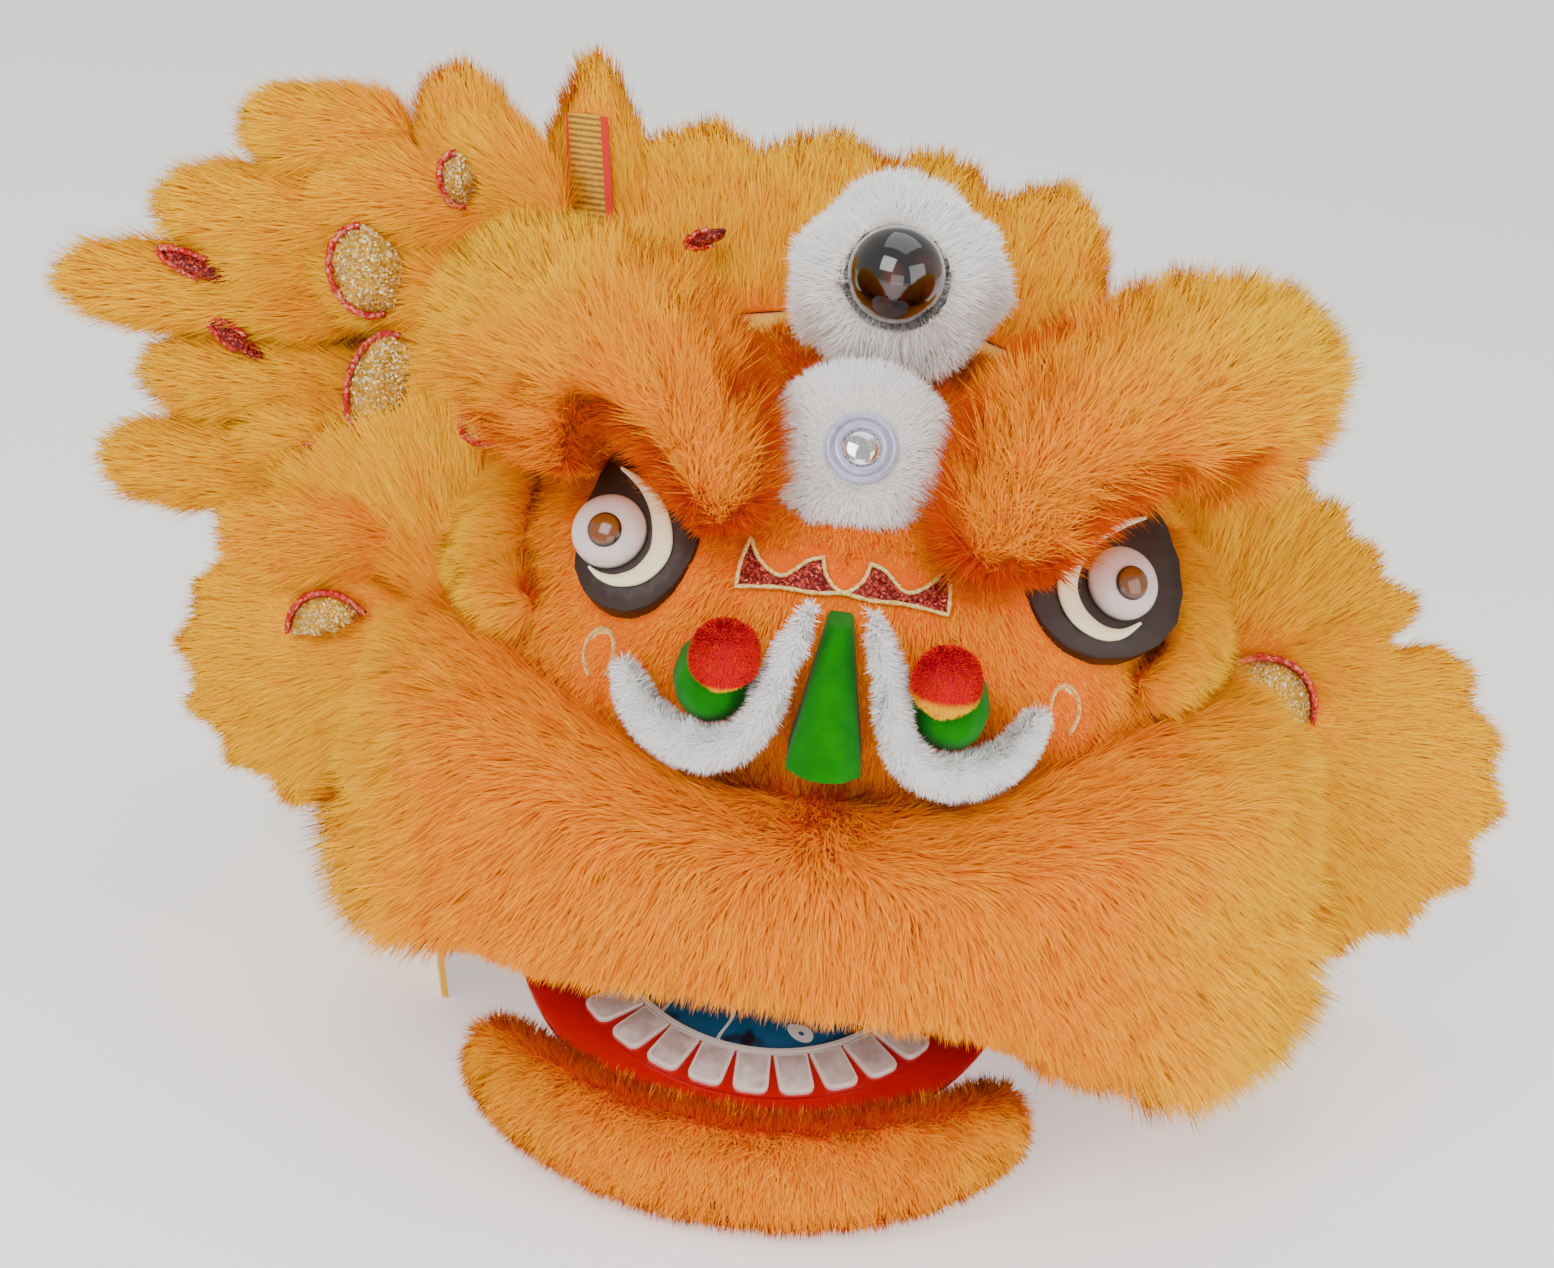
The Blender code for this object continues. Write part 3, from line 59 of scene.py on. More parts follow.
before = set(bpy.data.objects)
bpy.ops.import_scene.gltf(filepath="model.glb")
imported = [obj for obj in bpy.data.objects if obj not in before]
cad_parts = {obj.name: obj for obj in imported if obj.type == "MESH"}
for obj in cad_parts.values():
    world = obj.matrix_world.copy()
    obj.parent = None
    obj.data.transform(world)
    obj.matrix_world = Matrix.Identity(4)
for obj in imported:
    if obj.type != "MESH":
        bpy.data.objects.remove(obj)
CAD_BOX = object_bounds()

FLOOR_CLEARANCE = 0.0006

# Centre of the brow mirror's arc of view, seen from the front
CAMERA_PLACE = (-0.029, -1.6710, 0.8166)
CAMERA_RIGHT = (0.99255, 0.04168, 0.11452)
CAMERA_UP = (-0.12187, 0.33945, 0.93269)
CAMERA_BACK = (0.0, -0.93969, 0.34202)
CAMERA_LENS = 77.0
CAMERA_SENSOR = 36.0

EAR_ROOT = (0.190, 0.030, 0.180)
HORN_CENTRE = (0.010, -0.020, 0.408)
JAW_FRONT = (-0.015, -0.240, 0.041)
JAW_SLOPE = 20.0
JAW_RADIUS = 0.127
TEETH = 9
TEETH_SPAN = 58.0
TEETH_OUTER = 0.107
TEETH_INNER = 0.078
FACE_STEP = 0.007
ORNAMENT_UP = 0.302
EYEBALL_WALL = 0.003
# Fur lets light through, so its shading leans towards the light
SOFT_LIGHT = (0.0, -0.42, 0.40)

# Right half of the applique on the nose, from its middle round to its middle: across, up, corner
ORNAMENT_HALF = (
    (0.0000, -0.0070, 0), (0.0135, -0.0085, 0), (0.0300, -0.0080, 0), (0.0510, -0.0100, 1),
    (0.0505, 0.0020, 0), (0.0475, 0.0150, 1), (0.0425, 0.0055, 0), (0.0355, -0.0005, 0),
    (0.0295, -0.0020, 0), (0.0240, 0.0020, 0), (0.0185, 0.0070, 0), (0.0115, 0.0095, 1),
    (0.0095, 0.0020, 0), (0.0055, -0.0035, 0), (0.0015, -0.0062, 0),
)

# Small petals of the second row on the left: tip, root, radius
SMALL_PETALS = (
    ((-0.300, 0.084, 0.398), (-0.205, 0.070, 0.402), 0.0250),
    ((-0.232, 0.086, 0.436), (-0.168, 0.074, 0.400), 0.0240),
    ((-0.292, 0.080, 0.352), (-0.205, 0.064, 0.358), 0.0210),
    ((-0.256, 0.070, 0.308), (-0.185, 0.050, 0.316), 0.0210),
    ((-0.330, 0.084, 0.256), (-0.215, 0.060, 0.262), 0.0230),
    ((-0.356, 0.094, 0.352), (-0.290, 0.090, 0.356), 0.0180),
)

# Swirls about the eyeballs: outwards, upwards, width
SWIRLS = {
    "left": (-1, ((0.0055, 0.033, 0.0015), (-0.008, 0.027, 0.005), (-0.019, 0.0175, 0.008),
                  (-0.026, 0.005, 0.0100), (-0.0275, -0.006, 0.0105), (-0.022, -0.017, 0.009),
                  (-0.012, -0.0225, 0.006), (-0.003, -0.0225, 0.0035), (0.004, -0.0195, 0.0012))),
    "right": (1, ((0.022, 0.033, 0.0015), (0.006, 0.030, 0.005), (-0.012, 0.023, 0.008),
                  (-0.025, 0.012, 0.0100), (-0.031, -0.001, 0.0110), (-0.028, -0.014, 0.0105),
                  (-0.018, -0.023, 0.008), (-0.006, -0.025, 0.005), (0.006, -0.0205, 0.0015))),
}
# Patches of glitter cloth between the petals: across, forward, up, half width, half height, turn, cloth
SCALLOPS = (
    (-0.270, 0.052, 0.366, 0.019, 0.024, 20, "gold"),
    (-0.256, 0.046, 0.304, 0.018, 0.030, -8, "gold"),
    (-0.276, 0.052, 0.262, 0.022, 0.014, 25, "gold"),
    (-0.193, 0.020, 0.300, 0.016, 0.011, 20, "gold"),
    (-0.366, 0.078, 0.350, 0.021, 0.0055, -18, "red_glitter"),
    (-0.342, 0.080, 0.311, 0.018, 0.0050, -32, "red_glitter"),
    (-0.226, 0.056, 0.420, 0.009, 0.014, 15, "gold"),
    (-0.092, 0.070, 0.402, 0.011, 0.004, 25, "red_glitter"),
)
# Tufts that fill the gap between temple and ear: tip, root, radius
GAP_TUFTS = {
    "left": ((-0.330, 0.040, 0.214), (-0.225, 0.030, 0.222), 0.026),
    "right": ((0.298, 0.040, 0.222), (0.225, 0.030, 0.212), 0.022),
}


def linear(code):
    """Linear colour of an sRGB hex value."""
    channels = []
    for start in (1, 3, 5):
        value = int(code[start:start + 2], 16) / 255.0
        value = value / 12.92 if value <= 0.04045 else ((value + 0.055) / 1.055) ** 2.4
        channels.append(value)
    return tuple(channels)


def length_property(name, description, default):
    return bpy.props.FloatProperty(name=name, description=description, default=default, min=0.0005,
                                   max=0.2, unit="LENGTH", precision=4)


def colour_property(name, description, code):
    return bpy.props.FloatVectorProperty(name=name, description=description, default=linear(code),
                                         min=0.0, max=1.0, size=3, subtype="COLOR")


class LionHeadSizes(bpy.types.PropertyGroup):
    lip_length: length_property("Lip fur", "Length of the fur on the lip", 0.024)
    brow_length: length_property("Brow fur", "Length of the fur on the brows", 0.026)
    face_length: length_property("Face fur", "Length of the short fur on the face", 0.011)
    cheek_length: length_property("Cheek fur", "Length of the fur on the cheeks", 0.018)
    horn_length: length_property("Horn fur", "Length of the white fur round the horn", 0.011)
    mirror_length: length_property("Mirror fur", "Length of the white fur round the mirror", 0.010)
    trim_length: length_property("Nose trim fur", "Length of the white fur beside the nose", 0.0065)
    wool_length: length_property("Pompom wool", "Length of the wool of the nose pompoms", 0.0022)
    mane_length: length_property("Mane fur", "Length of the fur on the mane petals", 0.023)
    ear_length: length_property("Ear fur", "Length of the fur on the ear fans", 0.020)
    crest_length: length_property("Crest fur", "Length of the upright fur behind the horn", 0.022)
    back_length: length_property("Back fur", "Length of the fur on the back", 0.022)
    jaw_length: length_property("Jaw fur", "Length of the fur under the jaw", 0.012)
    strand_width: length_property("Strand width", "Radius of one drawn lock of fur at its root", 0.00055)
    cord_radius: length_property("Cord radius", "Radius of the twisted cords", 0.0014)


class LionHeadColours(bpy.types.PropertyGroup):
    # Root colours are darker than tip colours: painted shade of the deep pile
    orange_root: colour_property("Orange root", "Deep part of the orange fur", "#FF7E00")
    orange_tip: colour_property("Orange tip", "Tips of the orange fur", "#FF9C00")
    yellow_root: colour_property("Yellow root", "Deep part of the yellow fur", "#FF9E00")
    yellow_tip: colour_property("Yellow tip", "Tips of the yellow fur", "#FFC600")
    white_root: colour_property("White root", "Deep part of the white fur", "#F4F0EA")
    white_tip: colour_property("White tip", "Tips of the white fur", "#FFFFFF")
    wool_red: colour_property("Pompom red", "Wool of the nose pompoms", "#E4000E")
    felt_green: colour_property("Nose green", "Felt of the nose", "#067A08")
    cloth_yellow: colour_property("Cloth yellow", "Satin over the shell", "#FFC400")
    glitter_gold: colour_property("Glitter gold", "Gold glitter cloth", "#E0A008")
    glitter_red: colour_property("Glitter red", "Dark red glitter cloth", "#7A0A0C")
    trim_red: colour_property("Trim red", "Red piping and sequins", "#E01008")
    cord_cream: colour_property("Cord cream", "Cream and gold cord", "#F0DC9A")
    eye_dark: colour_property("Eye patch", "Dark paint round the eyes", "#2A1408")
    eye_cream: colour_property("Eye swirl", "Cream paint of the swirls", "#FFF0C8")
    eye_white: colour_property("Eyeball", "Eyeball", "#DCCBCB")
    pupil_brown: colour_property("Pupil", "Pupil", "#7A4414")
    jaw_red: colour_property("Jaw red", "Lacquer of the jaw board", "#D40008")
    mouth_blue: colour_property("Mouth blue", "Paint of the mouth's floor", "#17628E")
    tooth_white: colour_property("Tooth white", "Paint of the teeth", "#FFF6F0")
    tooth_pink: colour_property("Tooth middle", "Greyish pink middle of the teeth", "#CDB4AE")


# Materials

def add(tree, kind, inputs=None, **settings):
    """One node with its settings, its constants and its links."""
    made = tree.nodes.new(kind)
    for key, value in settings.items():
        setattr(made, key, value)
    for key, value in (inputs or {}).items():
        if isinstance(value, bpy.types.NodeSocket):
            tree.links.new(value, made.inputs[key])
        else:
            made.inputs[key].default_value = value
    return made


def surface(name, colour=None, roughness=0.5, metallic=0.0, ior=1.5):
    """New material with its main shader set to constants."""
    made = bpy.data.materials.new(name)
    made.use_nodes = True
    shader = made.node_tree.nodes["Principled BSDF"]
    shader.inputs["Roughness"].default_value = roughness
    shader.inputs["Metallic"].default_value = metallic
    shader.inputs["IOR"].default_value = ior
    if colour is not None:
        shader.inputs["Base Color"].default_value = (*colour, 1.0)
        made.diffuse_color = (*colour, 1.0)
    return made, made.node_tree, shader


def mixed(tree, factor, first, second):
    """Colour between two colours or colour sockets."""
    first = first if isinstance(first, bpy.types.NodeSocket) else (*first, 1.0)
    second = second if isinstance(second, bpy.types.NodeSocket) else (*second, 1.0)
    return add(tree, "ShaderNodeMix", {0: factor, 6: first, 7: second}, data_type="RGBA").outputs[2]


def fur_coat(name, root, tip, edge_root, edge_tip, patchy=0.28):
    """Dyed long-pile fur: matt, darker at its roots as painted shade of the deep pile, each lock a little different,
    two dyes that run together.
    """
    made, tree, shader = surface(name, tip, 0.7)
    along = add(tree, "ShaderNodeAttribute", attribute_name="along").outputs["Fac"]
    tint = add(tree, "ShaderNodeAttribute", attribute_name="tint").outputs["Fac"]
    zone = add(tree, "ShaderNodeAttribute", attribute_name="zone").outputs["Fac"]
    place = add(tree, "ShaderNodeTexCoord").outputs["Object"]
    # dye patches about 25 mm across
    patch = add(tree, "ShaderNodeTexNoise", {"Vector": place, "Scale": 40.0, "Detail": 2.0}).outputs["Fac"]
    spread = add(tree, "ShaderNodeMapRange", {"Value": patch, 1: 0.3, 2: 0.7, 3: -patchy, 4: patchy}).outputs[0]
    share = add(tree, "ShaderNodeMath", {0: zone, 1: spread}, operation="ADD", use_clamp=True).outputs[0]
    # painted shade: the root colour stands for the shade deep in the pile and gives way to the tip colour over three
    # quarters of the length; the skin under the fur, with no along, takes the root colour
    reach = add(tree, "ShaderNodeMapRange", {"Value": along, 1: 0.0, 2: 0.75, 3: 0.0, 4: 1.0}).outputs[0]
    middle = mixed(tree, reach, root, tip)
    edge = mixed(tree, reach, edge_root, edge_tip)
    body = mixed(tree, share, middle, edge)
    value = add(tree, "ShaderNodeMapRange", {"Value": tint, 1: 0.0, 2: 1.0, 3: 0.84, 4: 1.10}).outputs[0]
    hue = add(tree, "ShaderNodeMapRange", {"Value": tint, 1: 0.0, 2: 1.0, 3: 0.493, 4: 0.507}).outputs[0]
    varied = add(tree, "ShaderNodeHueSaturation", {"Hue": hue, "Value": value, "Color": body})
    tree.links.new(varied.outputs[0], shader.inputs["Base Color"])
    shader.inputs["Specular IOR Level"].default_value = 0.04
    return made


def glitter_cloth(name, colour, painted_glint, flake=0.0011, metallic=0.55):
    """Cloth with bonded glitter: flakes about a millimetre across, each tilted its own way, so some flash, and
    nearly half painted towards a pale colour as painted glints.
    """
    made, tree, shader = surface(name, colour, 0.32, metallic)
    place = add(tree, "ShaderNodeTexCoord").outputs["Object"]
    cells = add(tree, "ShaderNodeTexVoronoi", {"Vector": place, "Scale": 1.0 / flake})
    tilt = add(tree, "ShaderNodeVectorMath", {0: cells.outputs["Color"], 1: (0.5, 0.5, 0.5)}, operation="SUBTRACT")
    wide = add(tree, "ShaderNodeVectorMath", {0: tilt.outputs[0], "Scale": 1.1}, operation="SCALE")
    normal = add(tree, "ShaderNodeNewGeometry").outputs["Normal"]
    lean = add(tree, "ShaderNodeVectorMath", {0: normal, 1: wide.outputs[0]}, operation="ADD")
    out = add(tree, "ShaderNodeVectorMath", {0: lean.outputs[0]}, operation="NORMALIZE")
    tree.links.new(out.outputs[0], shader.inputs["Normal"])
    pick = add(tree, "ShaderNodeSeparateColor", {0: cells.outputs["Color"]}).outputs[1]
    # painted glints: nearly half the flakes are painted towards a pale colour
    glint_mask = add(tree, "ShaderNodeMapRange", {"Value": pick, 1: 0.55, 2: 0.95, 3: 0.0, 4: 1.0}).outputs[0]
    dark = tuple(channel * 0.35 for channel in colour)
    ground = mixed(tree, add(tree, "ShaderNodeTexNoise", {"Vector": place, "Scale": 60.0}).outputs["Fac"],
                   dark, colour)
    tree.links.new(mixed(tree, glint_mask, ground, painted_glint), shader.inputs["Base Color"])
    return made


def woven_satin(name, colour, lining):
    """Dyed satin glued over papier-mache: soft sheen outside, bare layered paper inside."""
    made, tree, shader = surface(name, colour, 0.5)
    place = add(tree, "ShaderNodeTexCoord").outputs["Object"]
    # threads drawn 1.2 mm apart, coarser than real so that they show
    weave = add(tree, "ShaderNodeTexWave", {"Vector": place, "Scale": 130.0, "Distortion": 1.5},
                wave_type="BANDS", bands_direction="Z")
    grain = add(tree, "ShaderNodeTexNoise", {"Vector": place, "Scale": 90.0, "Detail": 4.0}).outputs["Fac"]
    bump = add(tree, "ShaderNodeBump", {"Height": weave.outputs["Fac"], "Strength": 0.12, "Distance": 0.0005})
    tree.links.new(bump.outputs[0], shader.inputs["Normal"])
    normal = add(tree, "ShaderNodeNewGeometry").outputs["True Normal"]
    centre = add(tree, "ShaderNodeVectorMath", {0: place, 1: (0.0, 0.02, 0.12)}, operation="SUBTRACT")
    side = add(tree, "ShaderNodeVectorMath", {0: centre.outputs[0], 1: normal}, operation="DOT_PRODUCT")
    outside = add(tree, "ShaderNodeMath", {0: side.outputs["Value"], 1: 0.0}, operation="GREATER_THAN").outputs[0]
    worn = mixed(tree, grain, tuple(c * 0.8 for c in colour), colour)
    paper = mixed(tree, grain, tuple(c * 0.7 for c in lining), lining)
    tree.links.new(mixed(tree, outside, paper, worn), shader.inputs["Base Color"])
    shader.inputs["Sheen Weight"].default_value = 0.3
    return made


def pressed_felt(name, colour):
    """Pressed wool felt: matt, with short loose fibres that catch the light."""
    made, tree, shader = surface(name, colour, 0.95)
    place = add(tree, "ShaderNodeTexCoord").outputs["Object"]
    # fibre tufts about 1.5 mm across
    fibre = add(tree, "ShaderNodeTexNoise", {"Vector": place, "Scale": 650.0, "Detail": 4.0}).outputs["Fac"]
    broad = add(tree, "ShaderNodeTexNoise", {"Vector": place, "Scale": 70.0, "Detail": 2.0}).outputs["Fac"]
    bump = add(tree, "ShaderNodeBump", {"Height": fibre, "Strength": 0.6, "Distance": 0.0008})
    tree.links.new(bump.outputs[0], shader.inputs["Normal"])
    shade = mixed(tree, broad, tuple(c * 0.55 for c in colour), tuple(min(1.0, c * 1.25) for c in colour))
    tree.links.new(shade, shader.inputs["Base Color"])
    shader.inputs["Sheen Weight"].default_value = 0.08
    shader.inputs["Specular IOR Level"].default_value = 0.1
    return made


def brushed_paint(name, colour, roughness, streak=0.2, scale=120.0):
    """Paint laid on by brush over primed paper: slight streaks in colour and a gloss that is not quite even."""
    made, tree, shader = surface(name, colour, roughness)
    place = add(tree, "ShaderNodeTexCoord").outputs["Object"]
    stretched = add(tree, "ShaderNodeMapping", {"Vector": place, "Scale": (1.0, 1.0, 4.0)}).outputs[0]
    noise = add(tree, "ShaderNodeTexNoise", {"Vector": stretched, "Scale": scale, "Detail": 3.0}).outputs["Fac"]
    shade = mixed(tree, noise, tuple(c * (1.0 - streak) for c in colour),
                  tuple(min(1.0, c * (1.0 + streak)) for c in colour))
    tree.links.new(shade, shader.inputs["Base Color"])
    bump = add(tree, "ShaderNodeBump", {"Height": noise, "Strength": 0.15, "Distance": 0.0006})
    tree.links.new(bump.outputs[0], shader.inputs["Normal"])
    rough = add(tree, "ShaderNodeMapRange", {"Value": noise, 1: 0.0, 2: 1.0, 3: roughness * 0.8,
                                            4: min(1.0, roughness * 1.25)}).outputs[0]
    tree.links.new(rough, shader.inputs["Roughness"])
    shader.inputs["Coat Weight"].default_value = 0.4 if roughness < 0.4 else 0.0
    return made


def mouth_paint(name, colour):
    """Blue paint of the mouth's floor with darker cloudy patches and thin white brushed curls."""
    made, tree, shader = surface(name, colour, 0.4)
    place = add(tree, "ShaderNodeTexCoord").outputs["Object"]
    cloud = add(tree, "ShaderNodeTexNoise", {"Vector": place, "Scale": 38.0, "Detail": 2.0}).outputs["Fac"]
    curl = add(tree, "ShaderNodeTexNoise", {"Vector": place, "Scale": 26.0, "Detail": 0.0}).outputs["Fac"]
    dark = add(tree, "ShaderNodeMapRange", {"Value": cloud, 1: 0.55, 2: 0.62, 3: 0.0, 4: 1.0}).outputs[0]
    ground = mixed(tree, dark, colour, tuple(c * 0.06 for c in colour))
    away = add(tree, "ShaderNodeMath", {0: curl, 1: 0.56}, operation="SUBTRACT").outputs[0]
    near = add(tree, "ShaderNodeMath", {0: away}, operation="ABSOLUTE").outputs[0]
    line = add(tree, "ShaderNodeMath", {0: near, 1: 0.012}, operation="LESS_THAN").outputs[0]
    tree.links.new(mixed(tree, line, ground, (0.85, 0.85, 0.8)), shader.inputs["Base Color"])
    return made


def twisted_cord(name, colour, gold):
    """Rayon cord with a metal thread: satin strands, every other one gold."""
    made, tree, shader = surface(name, colour, 0.42, 0.15)
    place = add(tree, "ShaderNodeTexCoord").outputs["Object"]
    thread = add(tree, "ShaderNodeTexNoise", {"Vector": place, "Scale": 900.0, "Detail": 2.0}).outputs["Fac"]
    pick = add(tree, "ShaderNodeMapRange", {"Value": thread, 1: 0.48, 2: 0.56, 3: 0.0, 4: 1.0}).outputs[0]
    tree.links.new(mixed(tree, pick, colour, gold), shader.inputs["Base Color"])
    bump = add(tree, "ShaderNodeBump", {"Height": thread, "Strength": 0.5, "Distance": 0.0004})
    tree.links.new(bump.outputs[0], shader.inputs["Normal"])
    return made


def ladder_braid(gold, red):
    """Woven ladder braid: gold rungs 3 mm apart on dark ground between two red selvedges."""
    made, tree, shader = surface("gold_ladder_braid", gold, 0.6, 0.1)
    place = add(tree, "ShaderNodeTexCoord").outputs["Object"]
    part = add(tree, "ShaderNodeSeparateXYZ", {0: place}).outputs
    # the strip leans: its middle runs from one side to the other with height
    rise = add(tree, "ShaderNodeMath", {0: part["Z"], 1: 0.392}, operation="SUBTRACT").outputs[0]
    lean = add(tree, "ShaderNodeMath", {0: rise, 1: 0.2, 2: 0.154}, operation="MULTIPLY_ADD").outputs[0]
    across = add(tree, "ShaderNodeMath", {0: part["X"], 1: lean}, operation="ADD").outputs[0]
    right = add(tree, "ShaderNodeMath", {0: across, 1: 0.0075}, operation="GREATER_THAN").outputs[0]
    left = add(tree, "ShaderNodeMath", {0: across, 1: -0.0102}, operation="LESS_THAN").outputs[0]
    edge = add(tree, "ShaderNodeMath", {0: right, 1: left}, operation="MAXIMUM").outputs[0]
    wave = add(tree, "ShaderNodeMath", {0: part["Z"], 1: 2 * math.pi / 0.003}, operation="MULTIPLY").outputs[0]
    rung = add(tree, "ShaderNodeMath", {0: wave}, operation="SINE").outputs[0]
    fleck = add(tree, "ShaderNodeTexVoronoi", {"Vector": place, "Scale": 700.0}).outputs["Color"]
    shine = add(tree, "ShaderNodeSeparateColor", {0: fleck}).outputs[0]
    mix = add(tree, "ShaderNodeMath", {0: rung, 1: shine}, operation="ADD").outputs[0]
    share = add(tree, "ShaderNodeMapRange", {"Value": mix, 1: -0.2, 2: 1.0, 3: 0.0, 4: 1.0}).outputs[0]
    ladder = mixed(tree, share, tuple(c * 0.35 for c in gold), gold)
    tree.links.new(mixed(tree, edge, ladder, red), shader.inputs["Base Color"])
    return made


def split_bamboo(name):
    """Split bamboo strip: straw-coloured, with fine fibres that run its length."""
    colour = linear("#B98B52")
    made, tree, shader = surface(name, colour, 0.5)
    place = add(tree, "ShaderNodeTexCoord").outputs["Object"]
    along = add(tree, "ShaderNodeMapping", {"Vector": place, "Scale": (900.0, 60.0, 60.0)}).outputs[0]
    fibre = add(tree, "ShaderNodeTexNoise", {"Vector": along, "Scale": 1.0, "Detail": 3.0}).outputs["Fac"]
    tree.links.new(mixed(tree, fibre, linear("#8A5E2E"), linear("#D8B078")), shader.inputs["Base Color"])
    return made


# Meshes

def link(name, mesh):
    made = bpy.data.objects.new(name, mesh)
    bpy.context.scene.collection.objects.link(made)
    return made


def baked(obj, name):
    """Plain mesh object of what obj shows with its modifiers."""
    depsgraph = bpy.context.evaluated_depsgraph_get()
    mesh = bpy.data.meshes.new_from_object(obj.evaluated_get(depsgraph), depsgraph=depsgraph)
    mesh.name = name
    old = obj.data
    bpy.data.objects.remove(obj, do_unlink=True)
    if old.users == 0:
        bpy.data.meshes.remove(old)
    return link(name, mesh)


def merged_copy(node):
    """Mesh of a solid with its doubled points joined."""
    bm = bmesh.new()
    bm.from_mesh(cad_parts[node].data)
    bmesh.ops.remove_doubles(bm, verts=bm.verts[:], dist=1e-5)
    mesh = bpy.data.meshes.new(node + "_copy")
    bm.to_mesh(mesh)
    bm.free()
    return mesh


def rounded_copy(node, name, levels=2, sharp=50.0):
    """The solid with its facets rounded and its real edges kept."""
    bm = bmesh.new()
    mesh = merged_copy(node)
    bm.from_mesh(mesh)
    bmesh.ops.dissolve_limit(bm, angle_limit=math.radians(4.0), verts=bm.verts[:], edges=bm.edges[:])
    crease = bm.edges.layers.float.new("crease_edge")
    for edge in bm.edges:
        if len(edge.link_faces) == 2 and edge.calc_face_angle(0.0) > math.radians(sharp):
            edge[crease] = 0.9
    bm.to_mesh(mesh)
    bm.free()
    for polygon in mesh.polygons:
        polygon.use_smooth = True
    made = link(name, mesh)
    finish = made.modifiers.new("round", "SUBSURF")
    finish.levels = levels
    finish.render_levels = levels
    return baked(made, name)


def dressed(obj, body, material, nodes=()):
    """Gives a finished piece its material, its body and the solids it stands for."""
    if material is not None:
        obj.data.materials.clear()
        obj.data.materials.append(material)
    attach(obj, body)
    if nodes:
        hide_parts(*nodes)
    return obj


def points_of(node):
    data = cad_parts[node].data
    co = np.zeros(len(data.vertices) * 3, np.float32)
    data.vertices.foreach_get("co", co)
    return co.reshape(-1, 3).astype(float)


def foot_of(node):
    """Middle, outward axis and flat radius of a round solid, from its flat foot."""
    mesh = merged_copy(node)
    groups = {}
    for polygon in mesh.polygons:
        key = tuple(round(value, 2) for value in polygon.normal)
        groups.setdefault(key, []).append(polygon)
    foot = max(groups.values(), key=lambda group: sum(polygon.area for polygon in group))
    area = sum(polygon.area for polygon in foot)
    middle = sum((polygon.center * polygon.area for polygon in foot), Vector()) / area
    normal = sum((polygon.normal * polygon.area for polygon in foot), Vector())
    return middle, -normal.normalized()


def measured(node, middle, axis):
    """Distance from the axis and height over the foot, for each point of a solid."""
    offset = points_of(node) - np.array(middle)
    height = offset @ np.array(axis)
    return np.linalg.norm(offset - np.outer(height, np.array(axis)), axis=1), height


def domed_disc(name, middle, axis, radius, low, high, around=48, rings=10):
    """Closed lens between two heights given as functions of across, up and share of the radius."""
    right = Vector((0, 0, 1)).cross(axis).normalized()
    up = axis.cross(right).normalized()
    bm = bmesh.new()
    layers = []
    for level in (high, low):
        centre = bm.verts.new(middle + axis * level(0.0, 0.0, 0.0))
        rows = []
        for ring in range(1, rings + 1):
            share = math.sin(0.5 * math.pi * ring / rings)
            row = []
            for step in range(around):
                angle = 2 * math.pi * step / around
                a = radius * share * math.cos(angle)
                b = radius * share * math.sin(angle)
                row.append(bm.verts.new(middle + right * a + up * b + axis * level(a, b, share)))
            rows.append(row)
        for step in range(around):
            bm.faces.new((centre, rows[0][step], rows[0][(step + 1) % around]))
        for inner, outer in zip(rows, rows[1:]):
            for step in range(around):
                after = (step + 1) % around
                bm.faces.new((inner[step], outer[step], outer[after], inner[after]))
        layers.append(rows[-1])
    for step in range(around):
        after = (step + 1) % around
        bm.faces.new((layers[0][step], layers[1][step], layers[1][after], layers[0][after]))
    bmesh.ops.recalc_face_normals(bm, faces=bm.faces[:])
    mesh = bpy.data.meshes.new(name)
    bm.to_mesh(mesh)
    bm.free()
    for polygon in mesh.polygons:
        polygon.use_smooth = True
    return link(name, mesh)


def lathe(name, centre, axis, profile, around=64, hole=False):
    """Closed round body: rows of radius and height from its foot to its top, or a closed loop round a hole."""
    bm = bmesh.new()
    turn = Vector((0, 0, 1)).rotation_difference(axis.normalized()).to_matrix()
    rings = []
    for radius, height in profile:
        ring = []
        for step in range(around):
            angle = 2 * math.pi * step / around
            spot = Vector((radius * math.cos(angle), radius * math.sin(angle), height))
            ring.append(bm.verts.new(centre + turn @ spot))
        rings.append(ring)
    pairs = list(zip(rings, rings[1:]))
    if hole:
        pairs.append((rings[-1], rings[0]))
    for low, high in pairs:
        for step in range(around):
            after = (step + 1) % around
            bm.faces.new((low[step], low[after], high[after], high[step]))
    if not hole:
        bm.faces.new(rings[0][::-1])
        bm.faces.new(rings[-1])
        bmesh.ops.remove_doubles(bm, verts=bm.verts[:], dist=2e-5)
    bmesh.ops.recalc_face_normals(bm, faces=bm.faces[:])
    mesh = bpy.data.meshes.new(name)
    bm.to_mesh(mesh)
    bm.free()
    for polygon in mesh.polygons:
        polygon.use_smooth = True
    return link(name, mesh)


